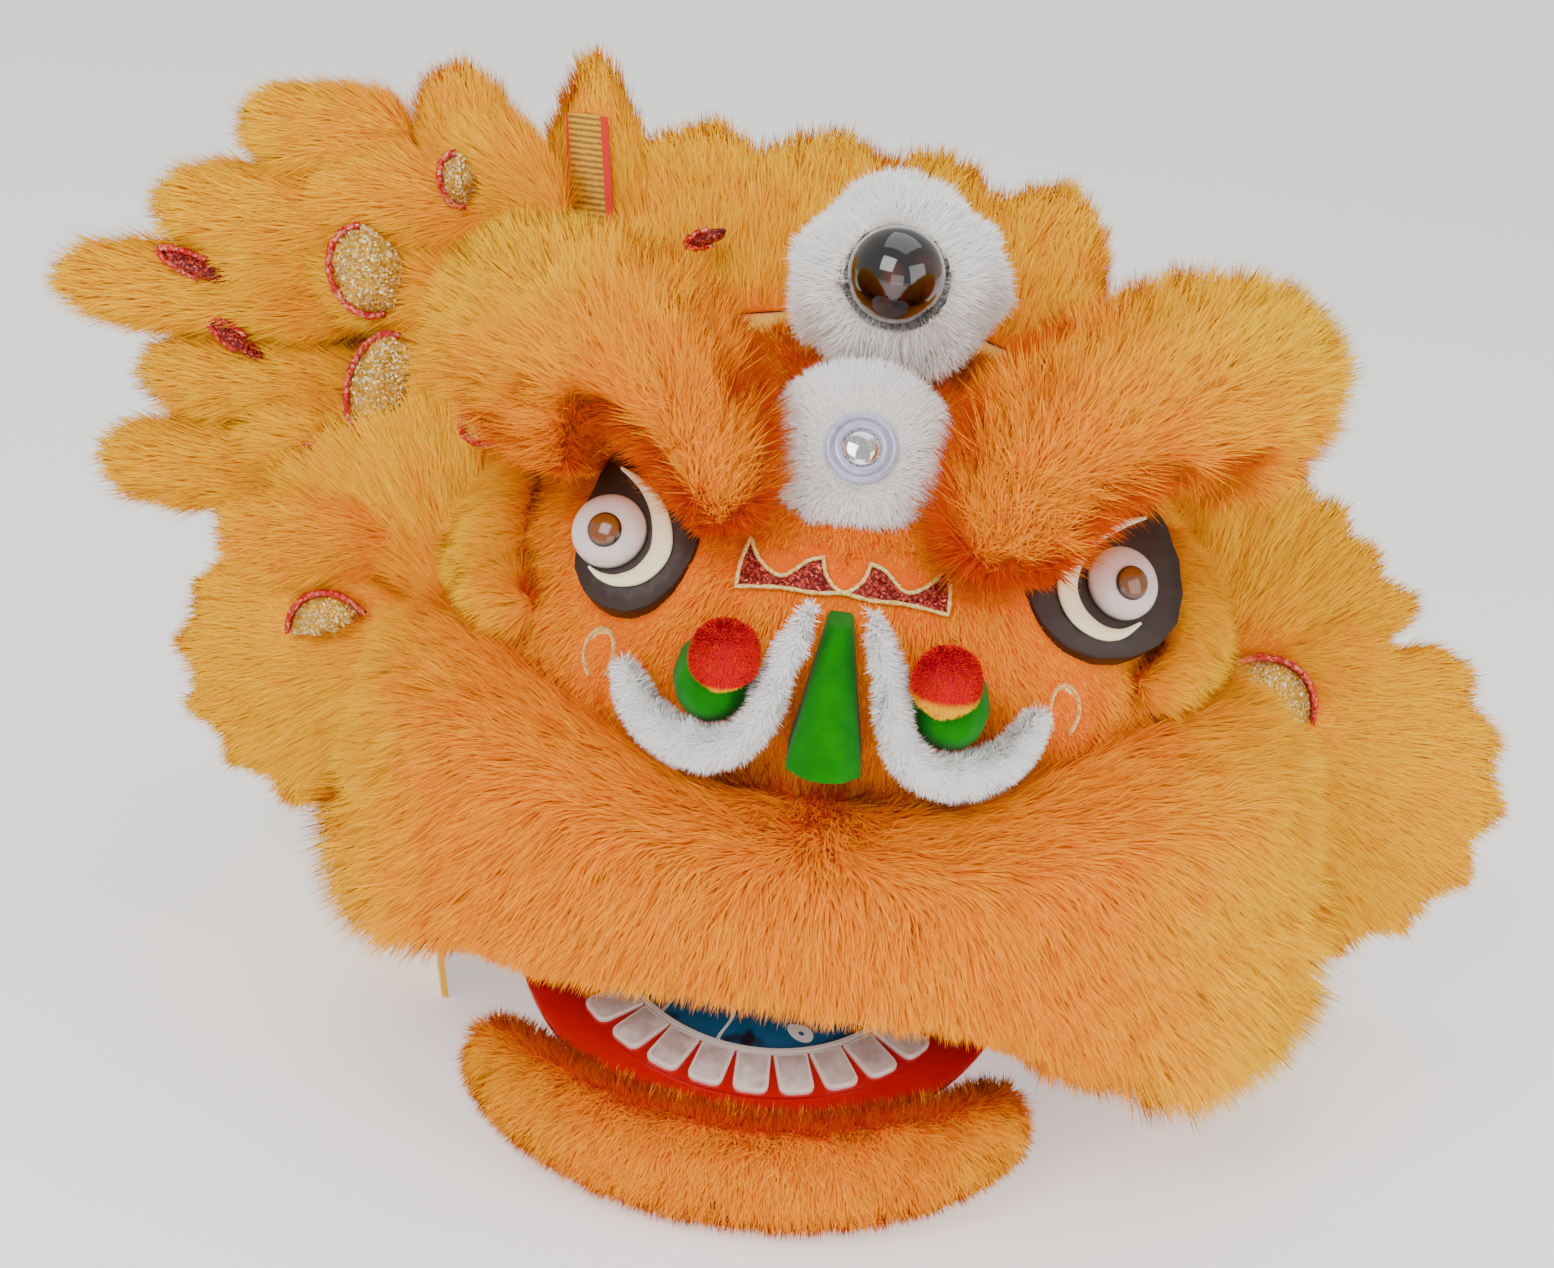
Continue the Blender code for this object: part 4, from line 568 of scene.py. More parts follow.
def tube(name, points, radius, sides=8, closed=False, twist=0.0, lobes=0.0):
    """Cord along a path; lobes and twist raise its wound strands."""
    bm = bmesh.new()
    count = len(points)
    rings = []
    for index, point in enumerate(points):
        before = points[index - 1] if closed or index else points[0]
        after = points[(index + 1) % count] if closed or index < count - 1 else points[-1]
        along = (after - before).normalized()
        side = along.cross(Vector((0, -1, 0.15))).normalized()
        out = side.cross(along).normalized()
        ring = []
        for step in range(sides):
            angle = 2 * math.pi * step / sides
            swell = radius * (1.0 + lobes * math.cos(2 * (angle + twist * index)))
            ring.append(bm.verts.new(point + side * (swell * math.cos(angle)) + out * (swell * math.sin(angle))))
        rings.append(ring)
    pairs = list(zip(rings, rings[1:]))
    if closed:
        pairs.append((rings[-1], rings[0]))
    for low, high in pairs:
        for step in range(sides):
            after = (step + 1) % sides
            bm.faces.new((low[step], low[after], high[after], high[step]))
    if not closed:
        bm.faces.new(rings[0][::-1])
        bm.faces.new(rings[-1])
    bmesh.ops.recalc_face_normals(bm, faces=bm.faces[:])
    mesh = bpy.data.meshes.new(name)
    bm.to_mesh(mesh)
    bm.free()
    for polygon in mesh.polygons:
        polygon.use_smooth = True
    return link(name, mesh)


# Fur

def fur_tree():
    """Geometry Nodes tree that grows fur on a skin. The skin's attributes grow, reach and comb say where and how."""
    found = bpy.data.node_groups.get("fur_strands")
    if found:
        return found
    tree = bpy.data.node_groups.new("fur_strands", "GeometryNodeTree")
    sockets = (("Skin", "NodeSocketGeometry"), ("Strands per square metre", "NodeSocketFloat"),
               ("Seed", "NodeSocketInt"), ("Length", "NodeSocketFloat"), ("Width", "NodeSocketFloat"),
               ("Lie", "NodeSocketFloat"), ("Mess", "NodeSocketFloat"), ("Clump", "NodeSocketFloat"),
               ("Clump size", "NodeSocketFloat"), ("Fur", "NodeSocketMaterial"))
    for name, kind in sockets:
        tree.interface.new_socket(name, in_out="INPUT", socket_type=kind)
    tree.interface.new_socket("Coat", in_out="OUTPUT", socket_type="NodeSocketGeometry")
    given = add(tree, "NodeGroupInput").outputs
    out = add(tree, "NodeGroupOutput")

    grow = add(tree, "GeometryNodeInputNamedAttribute", {"Name": "grow"}, data_type="FLOAT").outputs[0]
    density = add(tree, "ShaderNodeMath", {0: grow, 1: given["Strands per square metre"]}, operation="MULTIPLY")
    spread = add(tree, "GeometryNodeDistributePointsOnFaces",
                 {"Mesh": given["Skin"], "Density": density.outputs[0], "Seed": given["Seed"]},
                 distribute_method="RANDOM")
    normal = spread.outputs["Normal"]
    comb = add(tree, "GeometryNodeInputNamedAttribute", {"Name": "comb"}, data_type="FLOAT_VECTOR").outputs[0]
    rise = add(tree, "ShaderNodeVectorMath", {0: comb, 1: normal}, operation="DOT_PRODUCT").outputs["Value"]
    lift = add(tree, "ShaderNodeVectorMath", {0: normal, "Scale": rise}, operation="SCALE").outputs[0]
    flat = add(tree, "ShaderNodeVectorMath", {0: comb, 1: lift}, operation="SUBTRACT").outputs[0]
    side = add(tree, "ShaderNodeVectorMath", {0: flat, "Scale": given["Lie"]}, operation="SCALE").outputs[0]
    stand = add(tree, "ShaderNodeMath", {0: 1.0, 1: given["Lie"]}, operation="SUBTRACT").outputs[0]
    upright = add(tree, "ShaderNodeVectorMath", {0: normal, "Scale": stand}, operation="SCALE").outputs[0]

    place = add(tree, "GeometryNodeInputPosition").outputs[0]
    scale = add(tree, "ShaderNodeMath", {0: 1.0, 1: given["Clump size"]}, operation="DIVIDE").outputs[0]
    swirl = add(tree, "ShaderNodeTexNoise", {"Vector": place, "Scale": scale, "Detail": 1.5}).outputs["Color"]
    even = add(tree, "ShaderNodeVectorMath", {0: swirl, 1: (0.5, 0.5, 0.5)}, operation="SUBTRACT").outputs[0]
    lock = add(tree, "ShaderNodeVectorMath", {0: even, "Scale": given["Clump"]}, operation="SCALE").outputs[0]
    stray = add(tree, "FunctionNodeRandomValue", {0: (-1.0, -1.0, -1.0), 1: (1.0, 1.0, 1.0), "Seed": 3},
                data_type="FLOAT_VECTOR").outputs[0]
    loose = add(tree, "ShaderNodeVectorMath", {0: stray, "Scale": given["Mess"]}, operation="SCALE").outputs[0]
    total = add(tree, "ShaderNodeVectorMath", {0: side, 1: upright}, operation="ADD").outputs[0]
    total = add(tree, "ShaderNodeVectorMath", {0: total, 1: lock}, operation="ADD").outputs[0]
    total = add(tree, "ShaderNodeVectorMath", {0: total, 1: loose}, operation="ADD").outputs[0]
    way = add(tree, "ShaderNodeVectorMath", {0: total}, operation="NORMALIZE").outputs[0]

    lean = add(tree, "ShaderNodeVectorMath", {0: way, 1: normal}, operation="DOT_PRODUCT").outputs["Value"]
    part = add(tree, "ShaderNodeMath", {0: lean, 1: 0.7}, operation="MULTIPLY").outputs[0]
    share = add(tree, "ShaderNodeVectorMath", {0: way, "Scale": part}, operation="SCALE").outputs[0]
    soft = add(tree, "ShaderNodeVectorMath", {0: normal, 1: share}, operation="SUBTRACT").outputs[0]

    dice = add(tree, "FunctionNodeRandomValue", {2: 0.0, 3: 1.0, "Seed": 11}, data_type="FLOAT").outputs[1]
    points = add(tree, "GeometryNodeStoreNamedAttribute",
                 {"Geometry": spread.outputs["Points"], "Name": "tint", "Value": dice},
                 data_type="FLOAT", domain="POINT").outputs[0]
    points = add(tree, "GeometryNodeStoreNamedAttribute", {"Geometry": points, "Name": "soft", "Value": soft},
                 data_type="FLOAT_VECTOR", domain="POINT").outputs[0]

    blade = add(tree, "GeometryNodeMeshCircle", {"Vertices": 3, "Radius": 1.0}, fill_type="NGON").outputs["Mesh"]
    corner = add(tree, "ShaderNodeSeparateXYZ", {0: add(tree, "GeometryNodeInputPosition").outputs[0]}).outputs
    half = add(tree, "ShaderNodeMath", {0: corner["Y"], 1: 0.866}, operation="DIVIDE").outputs[0]
    high = add(tree, "ShaderNodeMath", {0: corner["X"], 1: 0.5}, operation="ADD").outputs[0]
    high = add(tree, "ShaderNodeMath", {0: high, 1: 1.5}, operation="DIVIDE").outputs[0]
    stood = add(tree, "ShaderNodeCombineXYZ", {"X": half, "Y": 0.0, "Z": high}).outputs[0]
    spike = add(tree, "GeometryNodeSetPosition", {"Geometry": blade, "Position": stood}).outputs[0]
    height = add(tree, "ShaderNodeSeparateXYZ", {0: add(tree, "GeometryNodeInputPosition").outputs[0]}).outputs["Z"]
    spike = add(tree, "GeometryNodeStoreNamedAttribute", {"Geometry": spike, "Name": "along", "Value": height},
                data_type="FLOAT", domain="POINT").outputs[0]

    turn = add(tree, "FunctionNodeAlignRotationToVector", {"Rotation": spread.outputs["Rotation"], "Vector": way},
               axis="Z").outputs[0]
    # each blade lies like a shingle, with its flat side outwards
    turn = add(tree, "FunctionNodeAlignRotationToVector", {"Rotation": turn, "Vector": normal}, axis="Y",
               pivot_axis="Z").outputs[0]
    reach = add(tree, "GeometryNodeInputNamedAttribute", {"Name": "reach"}, data_type="FLOAT").outputs[0]
    uneven = add(tree, "FunctionNodeRandomValue", {2: 0.6, 3: 1.1, "Seed": 5}, data_type="FLOAT").outputs[1]
    long = add(tree, "ShaderNodeMath", {0: reach, 1: given["Length"]}, operation="MULTIPLY").outputs[0]
    long = add(tree, "ShaderNodeMath", {0: long, 1: uneven}, operation="MULTIPLY").outputs[0]
    size = add(tree, "ShaderNodeCombineXYZ", {"X": given["Width"], "Y": given["Width"], "Z": long}).outputs[0]
    planted = add(tree, "GeometryNodeInstanceOnPoints",
                  {"Points": points, "Instance": spike, "Rotation": turn, "Scale": size}).outputs[0]
    real = add(tree, "GeometryNodeRealizeInstances", {"Geometry": planted}).outputs[0]
    whole = add(tree, "GeometryNodeJoinGeometry")
    tree.links.new(real, whole.inputs[0])
    tree.links.new(given["Skin"], whole.inputs[0])
    smooth = add(tree, "GeometryNodeSetShadeSmooth", {"Geometry": whole.outputs[0], "Shade Smooth": True})
    painted = add(tree, "GeometryNodeSetMaterial", {"Geometry": smooth.outputs[0], "Material": given["Fur"]})
    tree.links.new(painted.outputs[0], out.inputs[0])
    return tree


def set_inputs(modifier, values):
    """Sets a Geometry Nodes modifier's inputs by the identifiers of their sockets."""
    for item in modifier.node_group.interface.items_tree:
        if item.item_type == "SOCKET" and item.in_out == "INPUT" and item.name in values:
            modifier[item.identifier] = values[item.name]


def shell_tree():
    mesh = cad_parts["shell"].data
    return BVHTree.FromPolygons([v.co for v in mesh.vertices], [p.vertices[:] for p in mesh.polygons])


def skin_of(mesh_object, voxel, smooth, swell=0.0):
    """Evenly meshed smooth skin under the fur, swollen or shrunk by a length."""
    even = mesh_object.modifiers.new("even", "REMESH")
    even.mode = "VOXEL"
    even.voxel_size = voxel
    even.use_smooth_shade = True
    relax = mesh_object.modifiers.new("relax", "SMOOTH")
    relax.factor = 0.5
    relax.iterations = smooth
    if swell:
        puff = mesh_object.modifiers.new("puff", "DISPLACE")
        puff.strength = swell
        puff.mid_level = 0.0
    return baked(mesh_object, mesh_object.name)


def mark_skin(skin, comb, zone=None, reach=None, grow=None, backing=None):
    """Writes where the fur grows, how it is combed, how long it is and which dye it has."""
    mesh = skin.data
    count = len(mesh.vertices)
    values = {"grow": np.ones(count, np.float32), "reach": np.ones(count, np.float32),
              "zone": np.zeros(count, np.float32)}
    combed = np.zeros((count, 3), np.float32)
    for index, vertex in enumerate(mesh.vertices):
        co = vertex.co
        normal = vertex.normal
        if backing is not None:
            near, _, _, distance = backing.find_nearest(co, 0.007)
            if near is not None and (near - co).normalized().dot(normal) > 0.35:
                values["grow"][index] = 0.0
        if grow is not None:
            values["grow"][index] *= grow(co, normal)
        if reach is not None:
            values["reach"][index] = reach(co, normal)
        if zone is not None:
            values["zone"][index] = min(1.0, max(0.0, zone(co)))
        combed[index] = comb(co, normal)
    for name, data in values.items():
        mesh.attributes.new(name, "FLOAT", "POINT").data.foreach_set("value", data)
    mesh.attributes.new("comb", "FLOAT_VECTOR", "POINT").data.foreach_set("vector", combed.ravel())


def grown_area(mesh):
    grow = np.zeros(len(mesh.vertices), np.float32)
    mesh.attributes["grow"].data.foreach_get("value", grow)
    total = 0.0
    for polygon in mesh.polygons:
        total += polygon.area * sum(float(grow[v]) for v in polygon.vertices) / len(polygon.vertices)
    return total


def furred(skin, name, coat, triangles, length, width, lie=0.6, mess=0.18, clump=1.1, size=0.014, seed=1):
    """Grows the fur on the skin and returns one plain mesh with soft shading."""
    skin_triangles = sum(len(p.vertices) - 2 for p in skin.data.polygons)
    strands = max(100, triangles - skin_triangles)
    modifier = skin.modifiers.new("fur", "NODES")
    modifier.node_group = fur_tree()
    set_inputs(modifier, {"Strands per square metre": strands / max(grown_area(skin.data), 1e-5), "Seed": seed,
                          "Length": length, "Width": width, "Lie": lie, "Mess": mess, "Clump": clump,
                          "Clump size": size, "Fur": coat})
    made = baked(skin, name)
    mesh = made.data
    count = len(mesh.vertices)
    co = np.zeros(count * 3, np.float32)
    mesh.vertices.foreach_get("co", co)
    co = co.reshape(-1, 3)
    co[:, 2] = np.maximum(co[:, 2], FLOOR_CLEARANCE)
    mesh.vertices.foreach_set("co", co.ravel())
    soft = np.zeros(count * 3, np.float32)
    mesh.attributes["soft"].data.foreach_get("vector", soft)
    soft = soft.reshape(-1, 3)
    own = np.zeros(count * 3, np.float32)
    mesh.vertices.foreach_get("normal", own)
    own = own.reshape(-1, 3)
    size_of = np.linalg.norm(soft, axis=1, keepdims=True)
    normals = np.where(size_of > 1e-4, soft / np.maximum(size_of, 1e-6), own) + np.array(SOFT_LIGHT)
    normals /= np.maximum(np.linalg.norm(normals, axis=1, keepdims=True), 1e-6)
    mesh.normals_split_custom_set_from_vertices(normals.tolist())
    for unused in ("soft", "comb", "grow", "reach"):
        if unused in mesh.attributes:
            mesh.attributes.remove(mesh.attributes[unused])
    return made


def node_fur(node, name, coat, triangles, length, width, comb, voxel=0.005, smooth=6, zone=None, reach=None,
             grow=None, body="head", slot=None, shell=None, swell=0.0, **options):
    """Fur that stands for one soft solid."""
    skin = skin_of(link(name + "_skin", merged_copy(node)), voxel, smooth, swell)
    mark_skin(skin, comb, zone, reach, grow, shell)
    made = furred(skin, name, coat, triangles, length, width, **options)
    return dressed(made, body, None, (node,))


class Facing:
    """Flat frame in front of a place of the shell, from which outlines are laid on it."""

    def __init__(self, across, height, tilt):
        self.centre, normal, _, _ = Kit.shell.ray_cast(Vector((across, -0.6, height)), Vector((0, 1, 0)))
        self.normal = normal.lerp(Vector((0, -1, 0)), tilt).normalized()
        self.right = Vector((0, 0, 1)).cross(self.normal).normalized()
        self.up = self.normal.cross(self.right).normalized()

    def lay(self, a, b, height):
        start = self.centre + self.right * a + self.up * b + self.normal * 0.08
        hit, _, _, _ = Kit.shell.ray_cast(start, -self.normal)
        if hit is None:
            hit = start - self.normal * 0.08
        return hit + self.normal * height


def eased(points, steps):
    """Closed curve through points; a point marked as a corner stays sharp."""
    count = len(points)
    full = []
    for index in range(count):
        start = Vector(points[index][:2])
        end = Vector(points[(index + 1) % count][:2])
        before = start * 2 - end if points[index][2] else Vector(points[index - 1][:2])
        after = end * 2 - start if points[(index + 1) % count][2] else Vector(points[(index + 2) % count][:2])
        for step in range(steps):
            t = step / steps
            full.append(0.5 * (2 * start + (end - before) * t + (2 * before - 5 * start + 4 * end - after) * t * t
                               + (3 * start - before - 3 * end + after) * t ** 3))
    return full


def laid_plate(name, outline, frame_at, low, high):
    """Thin closed plate with a flat outline, laid on the shell."""
    bm = bmesh.new()
    bm.faces.new([bm.verts.new((a, b, 0.0)) for a, b in outline])
    bm.normal_update()
    bmesh.ops.triangulate(bm, faces=bm.faces[:])
    for turn in range(4):
        long = [edge for edge in bm.edges if edge.calc_length() > 0.004 and len(edge.link_faces) == 2]
        bmesh.ops.subdivide_edges(bm, edges=long, cuts=1)
        bmesh.ops.triangulate(bm, faces=[face for face in bm.faces if len(face.verts) > 3])
    made = bmesh.ops.extrude_face_region(bm, geom=bm.faces[:])
    raised = {item for item in made["geom"] if isinstance(item, bmesh.types.BMVert)}
    for vertex in bm.verts:
        vertex.co = frame_at.lay(vertex.co.x, vertex.co.y, high if vertex in raised else low)
    bmesh.ops.recalc_face_normals(bm, faces=bm.faces[:])
    mesh = bpy.data.meshes.new(name)
    bm.to_mesh(mesh)
    bm.free()
    return link(name, mesh)


def near_tree(*nodes):
    """Search tree of some solids together."""
    points = []
    faces = []
    for node in nodes:
        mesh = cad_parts[node].data
        faces += [[len(points) + index for index in polygon.vertices] for polygon in mesh.polygons]
        points += [vertex.co.copy() for vertex in mesh.vertices]
    return BVHTree.FromPolygons(points, faces)


def shorter_near(tree, start, end, least):
    """Share of the fur's length: least beside some solids, full farther off."""
    def reach(co, normal):
        distance = tree.find_nearest(co)[3]
        return least + (1.0 - least) * ramp(distance, start, end)
    return reach


def ramp(value, low, high):
    t = min(max((value - low) / (high - low), 0.0), 1.0)
    return t * t * (3 - 2 * t)


def away_from(point, co):
    way = co - Vector(point)
    return way.normalized() if way.length > 1e-6 else Vector((0, 0, 1))


class Kit:
    """Materials and search tree that several pieces share. Filled by prepare()."""
    coats = {}
    shell = None


def prepare(context):
    c = context.scene.lion_colours
    Kit.shell = shell_tree()
    Kit.coats = {
        "orange": fur_coat("dyed_fur_orange_to_yellow", c.orange_root, c.orange_tip, c.yellow_root, c.yellow_tip),
        "yellow": fur_coat("dyed_fur_yellow", c.yellow_root, c.yellow_tip, c.orange_root, c.orange_tip),
        "white": fur_coat("rabbit_fur_white", c.white_root, c.white_tip, c.white_root, c.white_tip,
                          0.0),
        # the wool's root colour is its red at 0.7: painted shade deep in the pile
        "wool": fur_coat("clipped_wool_red", tuple(v * 0.7 for v in c.wool_red), c.wool_red,
                         c.yellow_root, c.yellow_tip, 0.04),
        # the pale third colour of each glitter cloth is the colour of its painted glints
        "gold": glitter_cloth("gold_glitter_cloth", c.glitter_gold, linear("#FFF4C0")),
        "red_glitter": glitter_cloth("dark_red_glitter_cloth", c.glitter_red, linear("#FF6A5A")),
        "trim": glitter_cloth("red_sequin_trim", c.trim_red, linear("#FF9A80"), 0.0016, 0.4),
        "cord": twisted_cord("cream_and_gold_cord", c.cord_cream, linear("#D8A83A")),
        "felt": pressed_felt("green_wool_felt", c.felt_green),
    }


# Pieces

HARD_FACE_PIECES = ("eye_plate_left", "eye_plate_right", "nose_ornament", "ornament_cord", "cheek_cord_left",
                    "cheek_cord_right", "nostril_left", "nostril_right", "nose_bridge", "nose_pompom_left",
                    "nose_pompom_right")


class LION_OT_stage(bpy.types.Operator):
    """Pale floor, soft studio light and the camera"""
    bl_idname = "lion.stage"
    bl_label = "Stage"

    def execute(self, context):
        bm = bmesh.new()
        bmesh.ops.create_grid(bm, x_segments=1, y_segments=1, size=6.0)
        mesh = bpy.data.meshes.new("studio_floor")
        bm.to_mesh(mesh)
        bm.free()
        floor = link("studio_floor", mesh)
        made, tree, shader = surface("matt_studio_paper", linear("#F4F3F1"), 0.9)
        place = add(tree, "ShaderNodeTexCoord").outputs["Object"]
        grain = add(tree, "ShaderNodeTexNoise", {"Vector": place, "Scale": 300.0}).outputs["Fac"]
        tree.links.new(mixed(tree, grain, linear("#F2F1EF"), linear("#F7F6F4")), shader.inputs["Base Color"])
        # lit through from below, as a light table is
        shader.inputs["Emission Color"].default_value = (1.0, 1.0, 1.0, 1.0)
        shader.inputs["Emission Strength"].default_value = 0.60
        mesh.materials.append(made)
        floor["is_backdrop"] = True

        world = bpy.data.worlds.new("soft_room")
        world.use_nodes = True
        world.node_tree.nodes["Background"].inputs["Color"].default_value = (1.0, 0.985, 0.96, 1.0)
        world.node_tree.nodes["Background"].inputs["Strength"].default_value = 0.68
        context.scene.world = world
        lights = (("key_softbox", (-0.9, -1.7, 1.7), 1.3, 32.0), ("fill_softbox", (1.5, -1.2, 0.9), 1.4, 16.0),
                  ("front_softbox", (0.1, -2.4, 0.35), 1.2, 8.0), ("top_softbox", (0.1, 0.2, 2.0), 1.6, 11.0))
        for name, place, size, power in lights:
            lamp = bpy.data.lights.new(name, "AREA")
            lamp.shape = "SQUARE"
            lamp.size = size
            lamp.energy = power
            holder = bpy.data.objects.new(name, lamp)
            context.scene.collection.objects.link(holder)
            holder.location = place
            aim = Vector((0.0, 0.0, 0.2)) - Vector(place)
            holder.rotation_euler = aim.to_track_quat("-Z", "Y").to_euler()
        camera = bpy.data.cameras.new("camera")
        camera.lens = CAMERA_LENS
        camera.sensor_width = CAMERA_SENSOR
        holder = bpy.data.objects.new("camera", camera)
        context.scene.collection.objects.link(holder)
        columns = (CAMERA_RIGHT, CAMERA_UP, CAMERA_BACK, CAMERA_PLACE)
        turn = Matrix.Identity(4)
        for column, values in enumerate(columns):
            for row in range(3):
                turn[row][column] = values[row]
        holder.matrix_world = turn
        context.scene.camera = holder
        return {"FINISHED"}


class LION_OT_shell(bpy.types.Operator):
    """Satin and paper of the hollow shell, and the short fur of the face"""
    bl_idname = "lion.shell"
    bl_label = "Shell and face"

    def execute(self, context):
        s = context.scene.lion_sizes
        c = context.scene.lion_colours
        satin = woven_satin("satin_over_paper_shell", c.cloth_yellow, linear("#C9A878"))
        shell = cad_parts["shell"]
        shell.data.materials.clear()
        shell.data.materials.append(satin)

        covers = near_tree(*[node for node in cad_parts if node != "shell"])
        hard = near_tree(*HARD_FACE_PIECES)
        bm = bmesh.new()
        bm.from_mesh(merged_copy("shell"))
        gone = []
        for face in bm.faces:
            centre = face.calc_center_median()
            outward = (centre - Vector((0.0, 0.02, 0.12))).dot(face.normal) > 0
            front = centre.y < 0.02 and face.normal.y < 0.6 and centre.z > 0.12
            rim = abs(face.normal.z) > 0.97 and centre.z < 0.2
            if not outward or not front or rim:
                gone.append(face)
        bmesh.ops.delete(bm, geom=gone, context="FACES")
        for turn in range(7):
            long = [edge for edge in bm.edges if edge.calc_length() > FACE_STEP]
            if long:
                bmesh.ops.subdivide_edges(bm, edges=long, cuts=1, use_grid_fill=True)
                bmesh.ops.triangulate(bm, faces=[face for face in bm.faces if len(face.verts) > 3])
        for vertex in bm.verts:
            vertex.co += vertex.normal * 0.0006
        mesh = bpy.data.meshes.new("face_skin")
        bm.to_mesh(mesh)
        bm.free()
        skin = link("face_skin", mesh)

        def grow(co, normal):
            near, _, _, distance = covers.find_nearest(co)
            under = distance < 0.006 and (near - co).dot(normal) > 0.4 * distance
            return 0.0 if under or distance < 0.0006 else 1.0

        def comb(co, normal):
            return Vector((co.x * 3.0, -0.2, -0.9)).normalized()

        def zone(co):
            return ramp(abs(co.x), 0.11, 0.20) + ramp(co.z, 0.34, 0.40)

        mark_skin(skin, comb, zone, shorter_near(hard, 0.001, 0.014, 0.3), grow)
        made = furred(skin, "face_fur", Kit.coats["orange"], 70000, s.face_length, s.strand_width * 0.85,
                      lie=0.6, mess=0.2, clump=0.8, size=0.010, seed=21)
        dressed(made, "head", None, ())
        return {"FINISHED"}


class LION_OT_lip(bpy.types.Operator):
    """Thick fur of the upper lip and the cheeks"""
    bl_idname = "lion.lip"
    bl_label = "Lip and cheeks"

    def execute(self, context):
        s = context.scene.lion_sizes

        def comb(co, normal):
            way = Vector((co.x * 4.5, -0.15, -0.85 + 0.9 * ramp(normal.z, 0.2, 0.9)))
            return way.normalized()

        def zone(co):
            return 0.9 * ramp(abs(co.x + 0.01), 0.13, 0.235)

        clear = shorter_near(near_tree("cheek_cord_left", "cheek_cord_right", "ear_trim_right", "ear_trim_left"), 0.002, 0.020, 0.4)

        def reach(co, normal):
            # the free ends hang longer and cover the arms of the jaw
            end = ramp(abs(co.x), 0.15, 0.19) * ramp(0.16 - co.z, 0.0, 0.05)
            mouth = ramp(0.17 - abs(co.x + 0.03), 0.0, 0.05) * ramp(0.135 - co.z, 0.0, 0.04)
            return clear(co, normal) * (1.0 + 0.9 * end) * (1.0 - 0.6 * mouth)

        node_fur("lip_fur", "lip_coat", Kit.coats["orange"], 134000, s.lip_length, s.strand_width * 1.15, comb,
                 0.006, 10, zone, reach, shell=Kit.shell, slot="orange_fur", lie=0.60, mess=0.18,
                 clump=1.0, size=0.014, seed=2)
        for side, word in ((-1, "left"), (1, "right")):
            node_fur("cheek_fur_" + word, "cheek_coat_" + word, Kit.coats["orange"], 18000, s.cheek_length,
                     s.strand_width, lambda co, n, side=side: Vector((side * 0.9, -0.2, -0.5)), 0.004, 6,
                     lambda co: ramp(abs(co.x), 0.12, 0.2),
                     shorter_near(near_tree("cheek_cord_" + word, "eye_plate_" + word), 0.001, 0.018, 0.3), shell=Kit.shell, slot="orange_fur", lie=0.65, seed=3)
        return {"FINISHED"}


class LION_OT_brows(bpy.types.Operator):
    """Deep fluffy brows"""
    bl_idname = "lion.brows"
    bl_label = "Brows"

    def execute(self, context):
        s = context.scene.lion_sizes
        clear = near_tree("eye_plate_left", "eye_plate_right", "mirror_rim")
        for side, word in ((-1, "left"), (1, "right")):
            low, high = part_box("brow_" + word)
            centre = (low + high) / 2

            def comb(co, normal, side=side, centre=centre):
                way = (co - centre) * 6.0 + Vector((side * 0.45, 0.05, 0.55))
                return way.normalized()

            def zone(co, low=low, high=high):
                out = (abs(co.x) - min(abs(low.x), abs(high.x))) / abs(high.x - low.x)
                up = (co.z - low.z) / (high.z - low.z)
                return ramp(0.55 * out + 0.6 * up, 0.45, 1.0)

            node_fur("brow_" + word, "brow_coat_" + word, Kit.coats["orange"], 56000, s.brow_length,
                     s.strand_width * 1.05, comb, 0.005, 8, zone, shorter_near(clear, 0.010, 0.042, 0.12), shell=Kit.shell, slot="orange_fur", lie=0.52,
                     mess=0.24, clump=1.1, size=0.016, seed=4)
        return {"FINISHED"}


class LION_OT_horn(bpy.types.Operator):
    """White fur pompom with its glossy black ball"""
    bl_idname = "lion.horn"
    bl_label = "Horn"

    def execute(self, context):
        s = context.scene.lion_sizes
        centre = Vector(HORN_CENTRE)

        low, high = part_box("horn_ball")
        ball = (low + high) / 2

        def comb(co, normal):
            return away_from(ball, co)

        radius = (high.x - low.x) / 2

        def reach(co, normal):
            near = (co - ball).length
            return 0.55 if near < radius * 1.25 else 1.0

        node_fur("horn_fur", "horn_coat", Kit.coats["white"], 39000, s.horn_length, s.strand_width * 0.9, comb,
                 0.004, 6, None, reach, shell=Kit.shell, slot="white_fur", lie=0.60, mess=0.28, clump=0.6,
                 size=0.010, swell=-0.004, seed=5)
        profile = []
        for step in range(33):
            angle = math.pi * step / 32
            profile.append((radius * math.sin(angle), -radius * math.cos(angle)))
        made = lathe("horn_glass_ball", ball, Vector((0, -0.5, 0.8)), profile, 72)
        # cast resin ball with a deep brown cast under a clear gloss
        lacquer, tree, shader = surface("cast_resin_black_brown", linear("#0E0704"), 0.09)
        place = add(tree, "ShaderNodeTexCoord").outputs["Object"]
        cloud = add(tree, "ShaderNodeTexNoise", {"Vector": place, "Scale": 45.0, "Detail": 1.0}).outputs["Fac"]
        deep = add(tree, "ShaderNodeMapRange", {"Value": cloud, 1: 0.5, 2: 0.68, 3: 0.0, 4: 1.0}).outputs[0]
        tree.links.new(mixed(tree, deep, linear("#0A0503"), linear("#4A1E0C")), shader.inputs["Base Color"])
        shader.inputs["Coat Weight"].default_value = 1.0
        dressed(made, "head", lacquer, ("horn_ball",))
        return {"FINISHED"}


